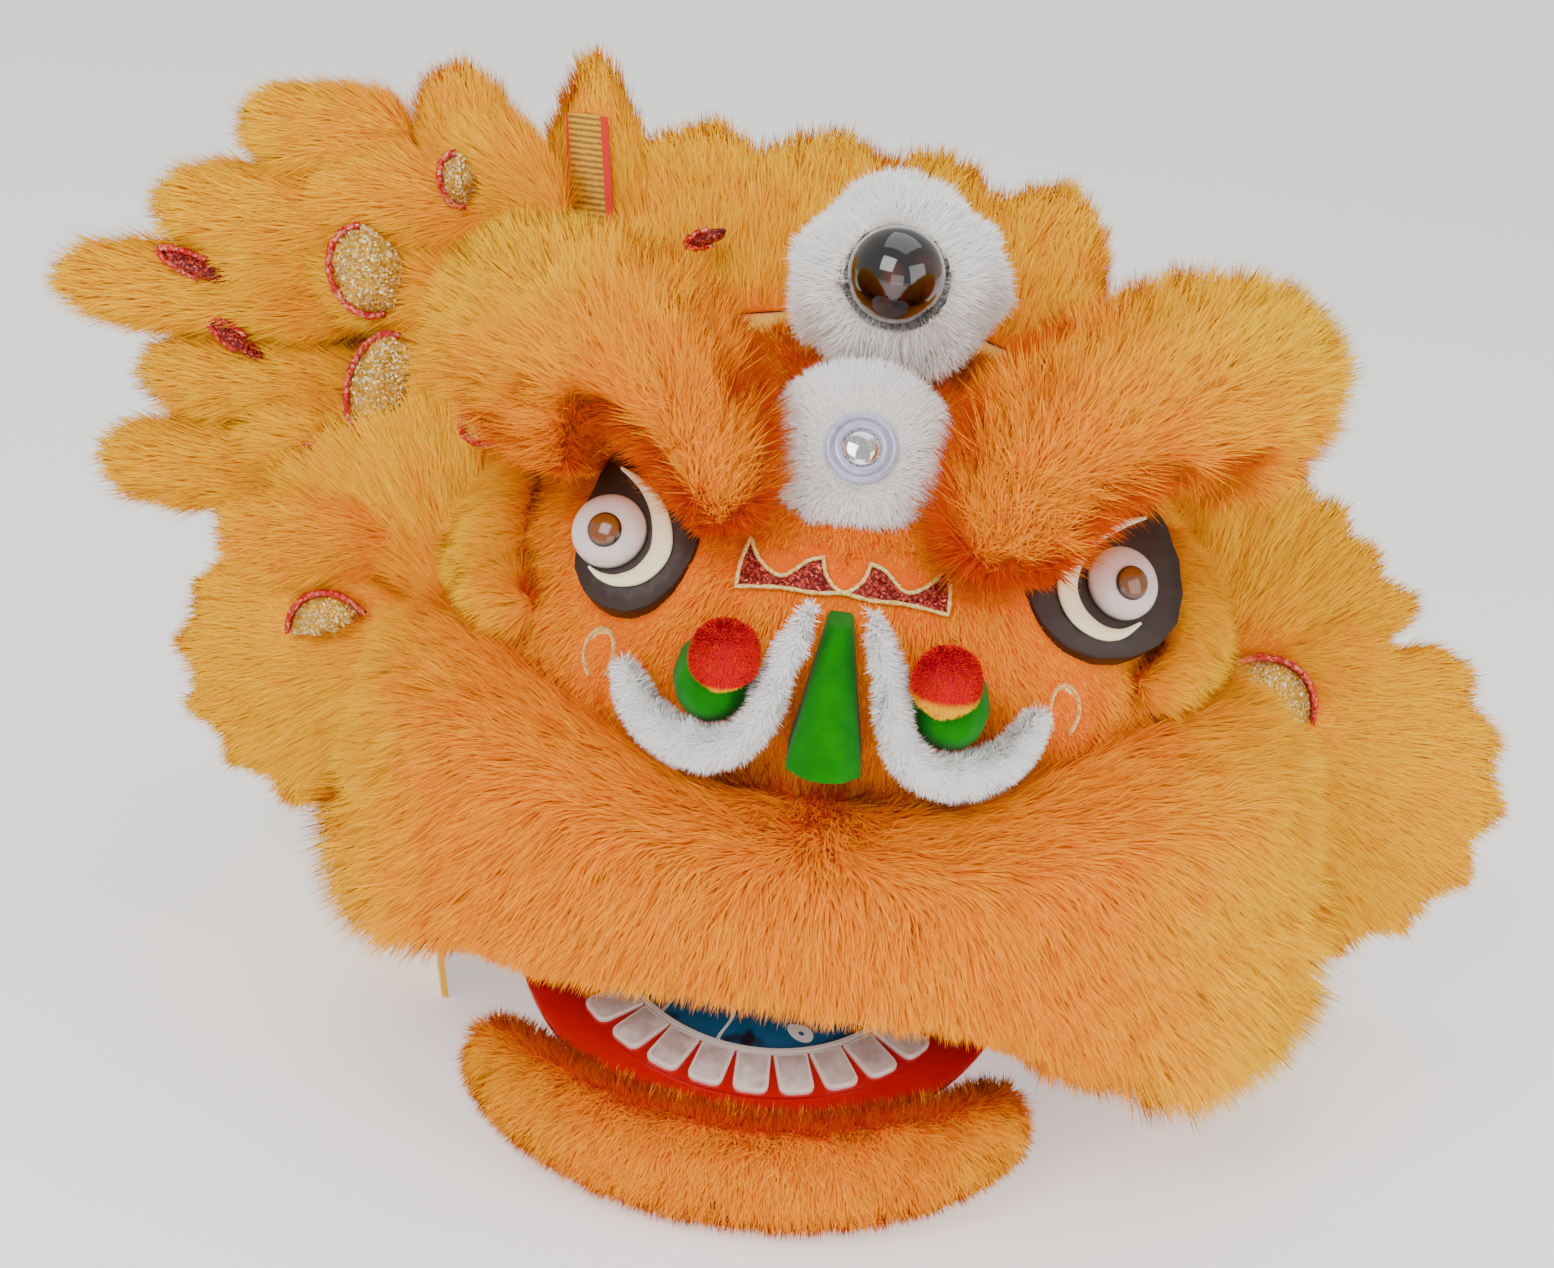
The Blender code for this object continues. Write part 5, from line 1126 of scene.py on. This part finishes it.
class LION_OT_mirror(bpy.types.Operator):
    """Brow mirror in its white fur collar"""
    bl_idname = "lion.mirror"
    bl_label = "Mirror"

    def execute(self, context):
        s = context.scene.lion_sizes
        low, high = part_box("mirror_rim")
        centre = (low + high) / 2

        def comb(co, normal):
            return away_from(centre, co)

        node_fur("mirror_fur", "mirror_coat", Kit.coats["white"], 28000, s.mirror_length, s.strand_width * 0.8,
                 comb, 0.003, 5, None, shorter_near(near_tree("mirror_rim"), 0.0005, 0.012, 0.35), shell=Kit.shell, slot="white_fur", lie=0.55, mess=0.26, clump=0.8,
                 size=0.010, seed=6)
        rim, tree, shader = surface("pearl_enamel_ring", linear("#B4B8D4"), 0.3, 0.25)
        place = add(tree, "ShaderNodeTexCoord").outputs["Object"]
        noise = add(tree, "ShaderNodeTexNoise", {"Vector": place, "Scale": 250.0}).outputs["Fac"]
        tree.links.new(mixed(tree, noise, linear("#9EA4C8"), linear("#D0D4E8")), shader.inputs["Base Color"])
        shader.inputs["Coat Weight"].default_value = 0.6
        middle, axis = foot_of("mirror_rim")
        across, height = measured("mirror_rim", middle, axis)
        outside = float(across.max())
        inside = float(across.min())
        thick = float(height.max())
        # a flat foot, a rounded outer bead, a shallow groove and a rounded inner bead
        profile = [(inside, 0.0), (outside, 0.0)]
        for start, end, top in ((outside, outside * 0.80, thick), (outside * 0.78, inside, thick * 0.9)):
            for step in range(9):
                angle = math.pi * step / 8
                spot = (start + end) / 2 + (start - end) / 2 * math.cos(angle)
                profile.append((spot, 0.45 * top + 0.55 * top * math.sin(angle)))
        dressed(lathe("mirror_ring", middle, axis, profile, 64, True), "head", rim, ("mirror_rim",))
        glass, tree, shader = surface("silvered_convex_mirror", linear("#DCDDE2"), 0.06, 1.0)
        place = add(tree, "ShaderNodeTexCoord").outputs["Object"]
        scratch = add(tree, "ShaderNodeTexNoise", {"Vector": place, "Scale": 300.0, "Detail": 4.0}).outputs["Fac"]
        rough = add(tree, "ShaderNodeMapRange", {"Value": scratch, 1: 0.3, 2: 0.8, 3: 0.03, 4: 0.2}).outputs[0]
        tree.links.new(rough, shader.inputs["Roughness"])
        middle, axis = foot_of("mirror_glass")
        across, height = measured("mirror_glass", middle, axis)
        disc = float(across.max())
        top = float(height.max())
        profile = [(0.0, 0.0), (disc, 0.0), (disc, top * 0.3)]
        for step in range(1, 17):
            angle = 0.5 * math.pi * step / 16
            profile.append((disc * math.cos(angle), top * (0.3 + 0.7 * math.sin(angle))))
        dressed(lathe("mirror_disc", middle, axis, profile), "head", glass, ("mirror_glass",))
        return {"FINISHED"}


def raised_band(name, middle, axis, side, rows, thick):
    """Rounded flat band of paint paste along a curve: outwards, upwards, width."""
    right = Vector((0, 0, 1)).cross(axis).normalized() * side
    up = axis.cross(right).normalized() * side
    points = [Vector(row) for row in rows]
    full = []
    for index in range(len(points) - 1):
        before = points[max(index - 1, 0)]
        start = points[index]
        end = points[index + 1]
        after = points[min(index + 2, len(points) - 1)]
        for step in range(8):
            t = step / 8
            full.append(0.5 * (2 * start + (end - before) * t + (2 * before - 5 * start + 4 * end - after) * t * t
                               + (3 * start - before - 3 * end + after) * t ** 3))
    full.append(points[-1])
    bm = bmesh.new()
    rings = []
    for index, row in enumerate(full):
        along = (full[min(index + 1, len(full) - 1)].xy - full[max(index - 1, 0)].xy).normalized()
        across = Vector((-along.y, along.x))
        ring = []
        for share, height in ((-1.0, 0.0), (-1.0, 0.5), (-0.8, 0.9), (0.0, 1.0), (0.8, 0.9), (1.0, 0.5), (1.0, 0.0)):
            spot = row.xy + across * (share * row.z / 2)
            ring.append(bm.verts.new(middle + right * spot.x + up * spot.y + axis * (thick * height)))
        rings.append(ring)
    for first, second in zip(rings, rings[1:]):
        for step in range(7):
            after = (step + 1) % 7
            bm.faces.new((first[step], first[after], second[after], second[step]))
    bm.faces.new(rings[0][::-1])
    bm.faces.new(rings[-1])
    bmesh.ops.recalc_face_normals(bm, faces=bm.faces[:])
    mesh = bpy.data.meshes.new(name)
    bm.to_mesh(mesh)
    bm.free()
    for polygon in mesh.polygons:
        polygon.use_smooth = True
    return link(name, mesh)


class LION_OT_eyes(bpy.types.Operator):
    """Painted eye patches, swirls, eyeballs and pupils"""
    bl_idname = "lion.eyes"
    bl_label = "Eyes"

    def execute(self, context):
        c = context.scene.lion_colours
        dark = brushed_paint("satin_enamel_dark_brown", c.eye_dark, 0.5, 0.4, 60.0)
        cream = brushed_paint("poster_paint_cream", c.eye_cream, 0.5, 0.08)
        white = brushed_paint("moulded_plastic_eyeball", c.eye_white, 0.3, 0.05, 40.0)
        for word in ("left", "right"):
            dressed(rounded_copy("eye_plate_" + word, "eye_patch_" + word), "head", dark,
                    ("eye_plate_" + word,))
            middle, axis = foot_of("eyeball_" + word)
            side, swirl = SWIRLS[word]
            dressed(raised_band("eye_curl_" + word, middle, axis, side, swirl, 0.0024), "head", cream,
                    ("eye_swirl_" + word,))
            across, height = measured("eyeball_" + word, middle, axis)
            radius = float(across.max())
            top = float(height.max())

            def ball(a, b, radius=radius, top=top):
                far = min(1.0, math.hypot(a, b) / radius)
                return EYEBALL_WALL + (top - EYEBALL_WALL) * math.sqrt(1.0 - far * far)

            dressed(domed_disc("eye_dome_" + word, middle, axis, radius, lambda a, b, s: 0.0,
                               lambda a, b, s, ball=ball: ball(a, b)), "head", white, ("eyeball_" + word,))
            offset = points_of("pupil_" + word) - np.array(middle)
            flat = offset - np.outer(offset @ np.array(axis), np.array(axis))
            centre = Vector((flat.max(0) + flat.min(0)) / 2)
            wide = float(np.linalg.norm(flat - np.array(centre), axis=1).max())
            right = Vector((0, 0, 1)).cross(axis).normalized()
            up = axis.cross(right).normalized()
            shift = (centre.dot(right), centre.dot(up))

            def under(a, b, s, ball=ball, shift=shift):
                return ball(a + shift[0], b + shift[1]) + 0.0003

            iris, tree, shader = surface("painted_pupil_" + word, c.pupil_brown, 0.14)
            place = add(tree, "ShaderNodeTexCoord").outputs["Object"]
            spot = middle + centre + axis * under(0.0, 0.0, 0.0)
            centred = add(tree, "ShaderNodeVectorMath", {0: place, 1: tuple(spot)}, operation="SUBTRACT")
            away = add(tree, "ShaderNodeVectorMath", {0: centred.outputs[0]}, operation="LENGTH").outputs["Value"]
            edge = add(tree, "ShaderNodeMapRange", {"Value": away, 1: wide * 0.80, 2: wide * 0.95, 3: 0.0,
                                                    4: 1.0}).outputs[0]
            tree.links.new(mixed(tree, edge, c.pupil_brown, linear("#170A04")), shader.inputs["Base Color"])
            shader.inputs["Coat Weight"].default_value = 0.6
            dressed(domed_disc("eye_pupil_" + word, middle + centre, axis, wide, under,
                               lambda a, b, s, under=under: under(a, b, s) + 0.0008
                               + 0.0016 * math.sqrt(max(0.0, 1.0 - s * s)), 32, 6),
                    "head", iris, ("pupil_" + word,))
        return {"FINISHED"}


class LION_OT_nose(bpy.types.Operator):
    """Green felt nose with white fur trims and red pompoms"""
    bl_idname = "lion.nose"
    bl_label = "Nose"

    def execute(self, context):
        s = context.scene.lion_sizes
        c = context.scene.lion_colours
        for node, name in (("nose_bridge", "bridge_felt"), ("nostril_left", "nostril_felt_left"),
                           ("nostril_right", "nostril_felt_right")):
            skin = skin_of(link(name, merged_copy(node)), 0.0016, 6)
            dressed(skin, "head", Kit.coats["felt"], (node,))
        for side, word in ((-1, "left"), (1, "right")):
            low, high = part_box("nose_trim_" + word)

            def comb(co, normal, side=side):
                return Vector((side * 0.7, -0.1, -0.7))

            node_fur("nose_trim_" + word, "nose_coat_" + word, Kit.coats["white"], 26000, s.trim_length,
                     s.strand_width * 0.75, comb, 0.003, 4, None, None, shell=Kit.shell, slot="white_fur",
                     lie=0.50, mess=0.34, clump=0.8, size=0.008, swell=-0.0045, seed=7)
            low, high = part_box("nose_pompom_" + word)
            centre = (low + high) / 2
            node_fur("nose_pompom_" + word, "pompom_wool_" + word, Kit.coats["wool"], 13000, s.wool_length,
                     s.strand_width * 0.7, lambda co, n: Vector((0.3, -0.2, -0.9)), 0.002, 3,
                     lambda co, centre=centre, side=side: ramp(centre.z - co.z, 0.007 - 0.004 * side, 0.010 - 0.003 * side),
                     None, slot="red_pompom", lie=0.5, mess=0.3, clump=0.5, size=0.006, seed=8)
        return {"FINISHED"}


class LION_OT_ornament(bpy.types.Operator):
    """Dark red applique with its cord edge, and the cheek cords"""
    bl_idname = "lion.ornament"
    bl_label = "Ornament and cords"

    def execute(self, context):
        s = context.scene.lion_sizes
        place = Facing(0.0, ORNAMENT_UP, 0.5)
        left = [(-a, b, corner) for a, b, corner in reversed(ORNAMENT_HALF[1:])]
        outline = eased(list(ORNAMENT_HALF) + left, 6)
        dressed(laid_plate("bridge_applique", outline, place, -0.002, 0.0034), "head", Kit.coats["red_glitter"],
                ("nose_ornament",))
        route = [place.lay(a, b, 0.0036) for a, b in outline]
        dressed(tube("applique_cord", route, s.cord_radius * 0.75, 8, True, 0.9, 0.22), "head", Kit.coats["cord"],
                ("ornament_cord",))
        for node, name in (("cheek_cord_left", "cheek_braid_left"), ("cheek_cord_right", "cheek_braid_right")):
            dressed(rounded_copy(node, name, 2, 80.0), "head", Kit.coats["cord"], (node,))
        return {"FINISHED"}


class LION_OT_ears(bpy.types.Operator):
    """Pleated fur fans with their glitter panels and red trims"""
    bl_idname = "lion.ears"
    bl_label = "Ears"

    def execute(self, context):
        s = context.scene.lion_sizes
        for side, word in ((-1, "left"), (1, "right")):
            root = Vector((side * EAR_ROOT[0], EAR_ROOT[1], EAR_ROOT[2]))

            def comb(co, normal, root=root):
                way = co - root
                way.y *= 0.3
                return way.normalized()

            def zone(co, root=root):
                return 0.75 * ramp(0.10 - (co - root).length, 0.0, 0.08)

            sewn = near_tree("ear_panel_" + word, "ear_trim_" + word)
            beside = shorter_near(sewn, 0.002, 0.028, 0.12)

            def grow(co, normal, sewn=sewn):
                return ramp(sewn.find_nearest(co)[3], 0.001, 0.004)

            node_fur("ear_fur_" + word, "ear_coat_" + word, Kit.coats["yellow"], 44000, s.ear_length,
                     s.strand_width, comb, 0.004, 2, zone, beside, grow, slot="yellow_fur", lie=0.84, mess=0.16,
                     clump=0.6, size=0.012, seed=9)
            node_fur("temple_fur_" + word, "temple_coat_" + word, Kit.coats["yellow"], 20000, s.ear_length,
                     s.strand_width, comb, 0.004, 2, zone, beside, grow, slot="yellow_fur", lie=0.80, mess=0.18,
                     clump=0.7, size=0.012, seed=10)
            tip, root_at, radius = GAP_TUFTS[word]
            grown_petal("gap_tuft_" + word, tip, root_at, radius, 8000, s.ear_length, s.strand_width, 0.3, 60)
            dressed(rounded_copy("ear_panel_" + word, "ear_glitter_" + word, 1), "head", Kit.coats["gold"],
                    ("ear_panel_" + word,))
            dressed(rounded_copy("ear_trim_" + word, "ear_sequins_" + word, 1), "head", Kit.coats["trim"],
                    ("ear_trim_" + word,))
        return {"FINISHED"}


def petal_mesh(name, tip, root, radius, depth=0.7):
    """Soft lobe from its root to its rounded tip."""
    bm = bmesh.new()
    bmesh.ops.create_uvsphere(bm, u_segments=14, v_segments=12, radius=1.0)
    axis = Vector(tip) - Vector(root)
    along = axis.normalized()
    side = along.cross(Vector((0, 1, 0))).normalized()
    out = side.cross(along).normalized()
    for vertex in bm.verts:
        a, b, h = vertex.co
        width = radius * (0.8 + 0.3 * ramp(h, -1.0, 0.5))
        middle = Vector(root).lerp(Vector(tip), (h + 1) / 2)
        vertex.co = middle + side * (a * width) + out * (b * width * depth)
    bmesh.ops.recalc_face_normals(bm, faces=bm.faces[:])
    mesh = bpy.data.meshes.new(name)
    bm.to_mesh(mesh)
    bm.free()
    return link(name, mesh)


def grown_petal(name, tip, root, radius, triangles, length, width, zone, seed):
    """Small lobe of fur that stands by itself."""
    skin = skin_of(petal_mesh(name + "_skin", tip, root, radius), 0.005, 1)
    way = (Vector(tip) - Vector(root)).normalized()
    mark_skin(skin, lambda co, n: (way + n * 0.35).normalized(),
              lambda co: zone + 0.5 * ramp((co - Vector(tip)).length, 0.03, 0.10))
    made = furred(skin, name, Kit.coats["yellow"], triangles, length, width, lie=0.72, mess=0.2, clump=0.8,
                  size=0.012, seed=seed)
    return dressed(made, "head", None, ())


def scallop(name, place, wide, high, turn):
    """Domed patch of glitter cloth with piping along one side, in front of the fur."""
    angle = math.radians(turn)
    right = Vector((math.cos(angle), 0.0, math.sin(angle)))
    above = Vector((-math.sin(angle), 0.0, math.cos(angle)))
    middle = Vector(place)

    def lens(a, b, share, lift):
        return middle + right * (a * wide) + above * (b * high) + Vector((0, -lift * (1 - share * share), 0))

    bm = bmesh.new()
    rims = []
    for lift, behind in ((0.006, 0.0), (0.003, 0.0012)):
        centre = bm.verts.new(lens(0, 0, 0, lift) + Vector((0, behind, 0)))
        rows = []
        for ring in range(1, 7):
            share = ring / 6
            row = []
            for step in range(28):
                way = 2 * math.pi * step / 28
                wave = 1.0 + 0.06 * math.sin(5 * way + turn)
                spot = lens(share * wave * math.cos(way), share * wave * math.sin(way), share, lift)
                row.append(bm.verts.new(spot + Vector((0, behind, 0))))
            rows.append(row)
        for step in range(28):
            bm.faces.new((centre, rows[0][step], rows[0][(step + 1) % 28]))
        for inner, outer in zip(rows, rows[1:]):
            for step in range(28):
                after = (step + 1) % 28
                bm.faces.new((inner[step], outer[step], outer[after], inner[after]))
        rims.append(rows[-1])
    for step in range(28):
        after = (step + 1) % 28
        bm.faces.new((rims[0][step], rims[1][step], rims[1][after], rims[0][after]))
    bmesh.ops.recalc_face_normals(bm, faces=bm.faces[:])
    mesh = bpy.data.meshes.new(name)
    bm.to_mesh(mesh)
    bm.free()
    route = []
    for step in range(25):
        way = math.radians(80 + 200 * step / 24)
        route.append(lens(1.04 * math.cos(way), 1.04 * math.sin(way), 1.0, 0.0) + Vector((0, -0.001, 0)))
    return link(name, mesh), tube(name + "_piping", route, 0.0019, 8, False, 0.9, 0.2)


class LION_OT_mane(bpy.types.Operator):
    """Fur petals of the mane on glitter cloth with red scallops"""
    bl_idname = "lion.mane"
    bl_label = "Mane"

    def execute(self, context):
        s = context.scene.lion_sizes
        dressed(rounded_copy("mane_panel_left", "mane_glitter_left", 1), "head", Kit.coats["gold"],
                ("mane_panel_left",))
        for number in (1, 2):
            dressed(rounded_copy("petal_edge_%d" % number, "petal_piping_%d" % number, 2, 80.0), "head",
                    Kit.coats["trim"], ("petal_edge_%d" % number,))
        petals = [("mane_petal_left_%d" % n, "mane_lock_left_%d" % n, (-1.0, -0.05, 0.02)) for n in range(1, 7)]
        petals[5] = (petals[5][0], petals[5][1], (-0.3, 0.0, 0.95))
        petals += [("mane_petal_right_%d" % n, "mane_lock_right_%d" % n, (0.5, 0.8, 0.15)) for n in (1, 2)]
        for index, (node, name, way) in enumerate(petals):
            node_fur(node, name, Kit.coats["yellow"], 11200, s.mane_length, s.strand_width * 1.1,
                     lambda co, n, way=way: (Vector(way) + n * 0.3).normalized(), 0.004, 3,
                     lambda co: 0.35 * ramp(-co.x, 0.36, 0.26), slot="yellow_fur", lie=0.74, mess=0.18,
                     clump=0.7, size=0.012, swell=0.003, seed=30 + index)
        for index, (tip, root, radius) in enumerate(SMALL_PETALS):
            grown_petal("mane_tuft_left_%d" % (index + 1), tip, root, radius, 9500, s.mane_length,
                        s.strand_width * 1.1, 0.25, 50 + index)
        rim = Kit.coats["trim"]
        for number, (across, forward, up, wide, high, turn, slot) in enumerate(SCALLOPS, 1):
            fill, edge = scallop("scallop_%d" % number, (across, forward, up), wide, high, turn)
            dressed(fill, "head", Kit.coats[slot], ())
            dressed(edge, "head", rim, ())
        return {"FINISHED"}


class LION_OT_crest(bpy.types.Operator):
    """Upright fur behind the horn, its ladder strip, and the fur of the back"""
    bl_idname = "lion.crest"
    bl_label = "Crest and back"

    def execute(self, context):
        s = context.scene.lion_sizes
        strip = near_tree("spine_strip")

        def grow(co, normal):
            return ramp(strip.find_nearest(co)[3], 0.003, 0.006)

        node_fur("crest_fur", "crest_coat", Kit.coats["yellow"], 54000, s.crest_length, s.strand_width * 1.1,
                 lambda co, n: Vector((co.x * 2.0, -0.1, 1.0)).normalized(), 0.005, 5,
                 lambda co: 0.35 * ramp(0.44 - co.z, 0.0, 0.08), shorter_near(strip, 0.004, 0.02, 0.35), grow,
                 slot="yellow_fur", lie=0.80, mess=0.2, clump=1.0, size=0.016, shell=Kit.shell, seed=12)
        node_fur("back_fur", "back_coat", Kit.coats["yellow"], 35000, s.back_length, s.strand_width * 1.5,
                 lambda co, n: Vector((co.x, 0.1, -1.0)).normalized(), 0.006, 6,
                 lambda co: 0.2, slot="yellow_fur", lie=0.72, mess=0.2, clump=1.1, size=0.018,
                 shell=Kit.shell, seed=13)
        c = context.scene.lion_colours
        dressed(rounded_copy("spine_strip", "spine_ladder", 1), "head", ladder_braid(c.glitter_gold, c.trim_red),
                ("spine_strip",))
        return {"FINISHED"}


def jaw_place(radius, degrees, height):
    """Place in the jaw's plane from the middle of its round front."""
    slope = math.radians(JAW_SLOPE)
    angle = math.radians(degrees)
    along = JAW_RADIUS - radius * math.cos(angle)
    x, y, z = JAW_FRONT
    return Vector((x + radius * math.sin(angle), y + along * math.cos(slope) - height * math.sin(slope),
                   z + along * math.sin(slope) + height * math.cos(slope)))


def arc_strip(bm, inner, outer, low, high, slot, steps=48):
    """Closed flat strip along the arc of the teeth."""
    rows = []
    for radius, height in ((inner, low), (outer, low), (outer, high), (inner, high)):
        rows.append([bm.verts.new(jaw_place(radius, -TEETH_SPAN + 2 * TEETH_SPAN * step / steps, height))
                     for step in range(steps + 1)])
    for first, second in zip(rows, rows[1:] + rows[:1]):
        for step in range(steps):
            face = bm.faces.new((first[step], first[step + 1], second[step + 1], second[step]))
            face.material_index = slot
    for end in (0, steps):
        face = bm.faces.new([row[end] for row in rows])
        face.material_index = slot


def tooth(bm, layer, degrees, low, high):
    """Flat tooth with rounded corners; the layer is 0 at its rim and 1 inside."""
    pitch = 2 * math.radians(TEETH_SPAN) / TEETH
    inner = TEETH_INNER + 0.0022
    outer = TEETH_OUTER - 0.0012
    corners = ((0.47 * pitch * inner, inner, 0.0015), (0.375 * pitch * outer, outer, 0.0055),
               (-0.375 * pitch * outer, outer, 0.0055), (-0.47 * pitch * inner, inner, 0.0015))
    outline = []
    for index, (u, v, round_off) in enumerate(corners):
        here = Vector((u, v))
        before = (Vector(corners[index - 1][:2]) - here).normalized() * round_off
        after = (Vector(corners[(index + 1) % 4][:2]) - here).normalized() * round_off
        for step in range(6):
            t = step / 5
            outline.append((here + before) * (1 - t) ** 2 + here * 2 * t * (1 - t) + (here + after) * t * t)
    middle = sum(outline, Vector((0, 0))) / len(outline)
    rows = []
    for inset, height, inside in ((0.0, low, 0.0), (0.0, high - 0.0008, 0.0), (0.0006, high, 0.0),
                                  (0.0017, high, 0.0), (0.0019, high, 1.0), (0.006, high + 0.0004, 1.0)):
        row = []
        for point in outline:
            way = middle - point
            spot = point + way.normalized() * min(inset * 1.2, way.length * 0.95)
            vertex = bm.verts.new(jaw_place(spot.y, degrees + math.degrees(spot.x / spot.y), height))
            vertex[layer] = inside
            row.append(vertex)
        rows.append(row)
    count = len(outline)
    for first, second in zip(rows, rows[1:]):
        for step in range(count):
            after = (step + 1) % count
            face = bm.faces.new((first[step], first[after], second[after], second[step]))
            face.material_index = 1
    for row in (rows[0], rows[-1]):
        face = bm.faces.new(row)
        face.material_index = 1


def teeth_mesh(name):
    """Red gum, rounded teeth and the pale line along their inner ends, in one mesh."""
    bm = bmesh.new()
    layer = bm.verts.layers.float.new("inside")
    base = 0.0004
    arc_strip(bm, TEETH_INNER, TEETH_OUTER, base, base + 0.0012, 0)
    arc_strip(bm, TEETH_INNER - 0.0006, TEETH_INNER + 0.0016, base, base + 0.0040, 2)
    for number in range(TEETH):
        tooth(bm, layer, -TEETH_SPAN + 2 * TEETH_SPAN * (number + 0.5) / TEETH, base + 0.0006, base + 0.0036)
    bmesh.ops.recalc_face_normals(bm, faces=bm.faces[:])
    mesh = bpy.data.meshes.new(name)
    bm.to_mesh(mesh)
    bm.free()
    return link(name, mesh)


def tooth_paint(rim, inside):
    """Gloss paint of a tooth: brushed grey-pink inside a white rim."""
    made, tree, shader = surface("tooth_gloss_paint", rim, 0.25)
    place = add(tree, "ShaderNodeTexCoord").outputs["Object"]
    share = add(tree, "ShaderNodeAttribute", attribute_name="inside").outputs["Fac"]
    step = add(tree, "ShaderNodeMath", {0: share, 1: 0.5}, operation="GREATER_THAN").outputs[0]
    cloud = add(tree, "ShaderNodeTexNoise", {"Vector": place, "Scale": 90.0, "Detail": 3.0}).outputs["Fac"]
    spread = add(tree, "ShaderNodeMapRange", {"Value": cloud, 1: 0.3, 2: 0.7, 3: 0.0, 4: 1.0}).outputs[0]
    centre = mixed(tree, spread, inside, rim)
    tree.links.new(mixed(tree, step, rim, centre), shader.inputs["Base Color"])
    shader.inputs["Coat Weight"].default_value = 0.3
    return made


class LION_OT_jaw(bpy.types.Operator):
    """Lacquered jaw board with teeth, painted floor, fur and bamboo arms"""
    bl_idname = "lion.jaw"
    bl_label = "Lower jaw"

    def execute(self, context):
        s = context.scene.lion_sizes
        c = context.scene.lion_colours
        red = brushed_paint("lacquer_red", c.jaw_red, 0.22, 0.12)
        dressed(rounded_copy("jaw_board", "jaw_lacquer_board", 2), "jaw", red, ("jaw_board",))
        dressed(rounded_copy("jaw_floor", "mouth_floor", 1), "jaw", mouth_paint("mouth_blue_paint", c.mouth_blue),
                ("jaw_floor",))
        teeth = teeth_mesh("painted_teeth")
        line = brushed_paint("white_line_paint", c.tooth_white, 0.4, 0.08)
        for material in (red, tooth_paint(c.tooth_white, c.tooth_pink), line):
            teeth.data.materials.append(material)
        dressed(teeth, "jaw", None, ("jaw_teeth",))
        for side, word in ((-1, "left"), (1, "right")):
            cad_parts["jaw_arm_" + word].data.materials.clear()
            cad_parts["jaw_arm_" + word].data.materials.append(
                bpy.data.materials.get("split_bamboo") or split_bamboo("split_bamboo"))
        node_fur("jaw_fur", "jaw_coat", Kit.coats["orange"], 50000, s.jaw_length, s.strand_width,
                 lambda co, n: Vector((co.x * 3.0, -0.5, -0.5)).normalized(), 0.004, 5,
                 lambda co: 0.6 * ramp(abs(co.x + 0.015), 0.06, 0.14), body="jaw", slot="orange_fur",
                 lie=0.55, mess=0.25, clump=0.9, size=0.012, seed=14)
        return {"FINISHED"}


OPERATORS = (LION_OT_stage, LION_OT_shell, LION_OT_lip, LION_OT_brows, LION_OT_horn, LION_OT_mirror, LION_OT_eyes,
             LION_OT_nose, LION_OT_ornament, LION_OT_ears, LION_OT_mane, LION_OT_crest, LION_OT_jaw)


class LION_PT_panel(bpy.types.Panel):
    """Sizes, colours and pieces of the lion head"""
    bl_idname = "LION_PT_panel"
    bl_label = "Lion head"
    bl_space_type = "VIEW_3D"
    bl_region_type = "UI"
    bl_category = "Lion head"

    def draw(self, context):
        for operator in OPERATORS:
            self.layout.operator(operator.bl_idname)
        for group in (context.scene.lion_sizes, context.scene.lion_colours):
            box = self.layout.box()
            for name in group.__annotations__:
                box.prop(group, name)


CLASSES = (LionHeadSizes, LionHeadColours, *OPERATORS, LION_PT_panel)


def register():
    for item in CLASSES:
        bpy.utils.register_class(item)
    bpy.types.Scene.lion_sizes = bpy.props.PointerProperty(type=LionHeadSizes)
    bpy.types.Scene.lion_colours = bpy.props.PointerProperty(type=LionHeadColours)


def unregister():
    del bpy.types.Scene.lion_colours
    del bpy.types.Scene.lion_sizes
    for item in reversed(CLASSES):
        bpy.utils.unregister_class(item)


def main():
    register()
    prepare(bpy.context)
    for operator in OPERATORS:
        group, name = operator.bl_idname.split(".")
        getattr(getattr(bpy.ops, group), name)()
    boxes = [[[float(v) for v in corner] for corner in box] for box in (CAD_BOX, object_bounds())]


if __name__ == "__main__":
    main()
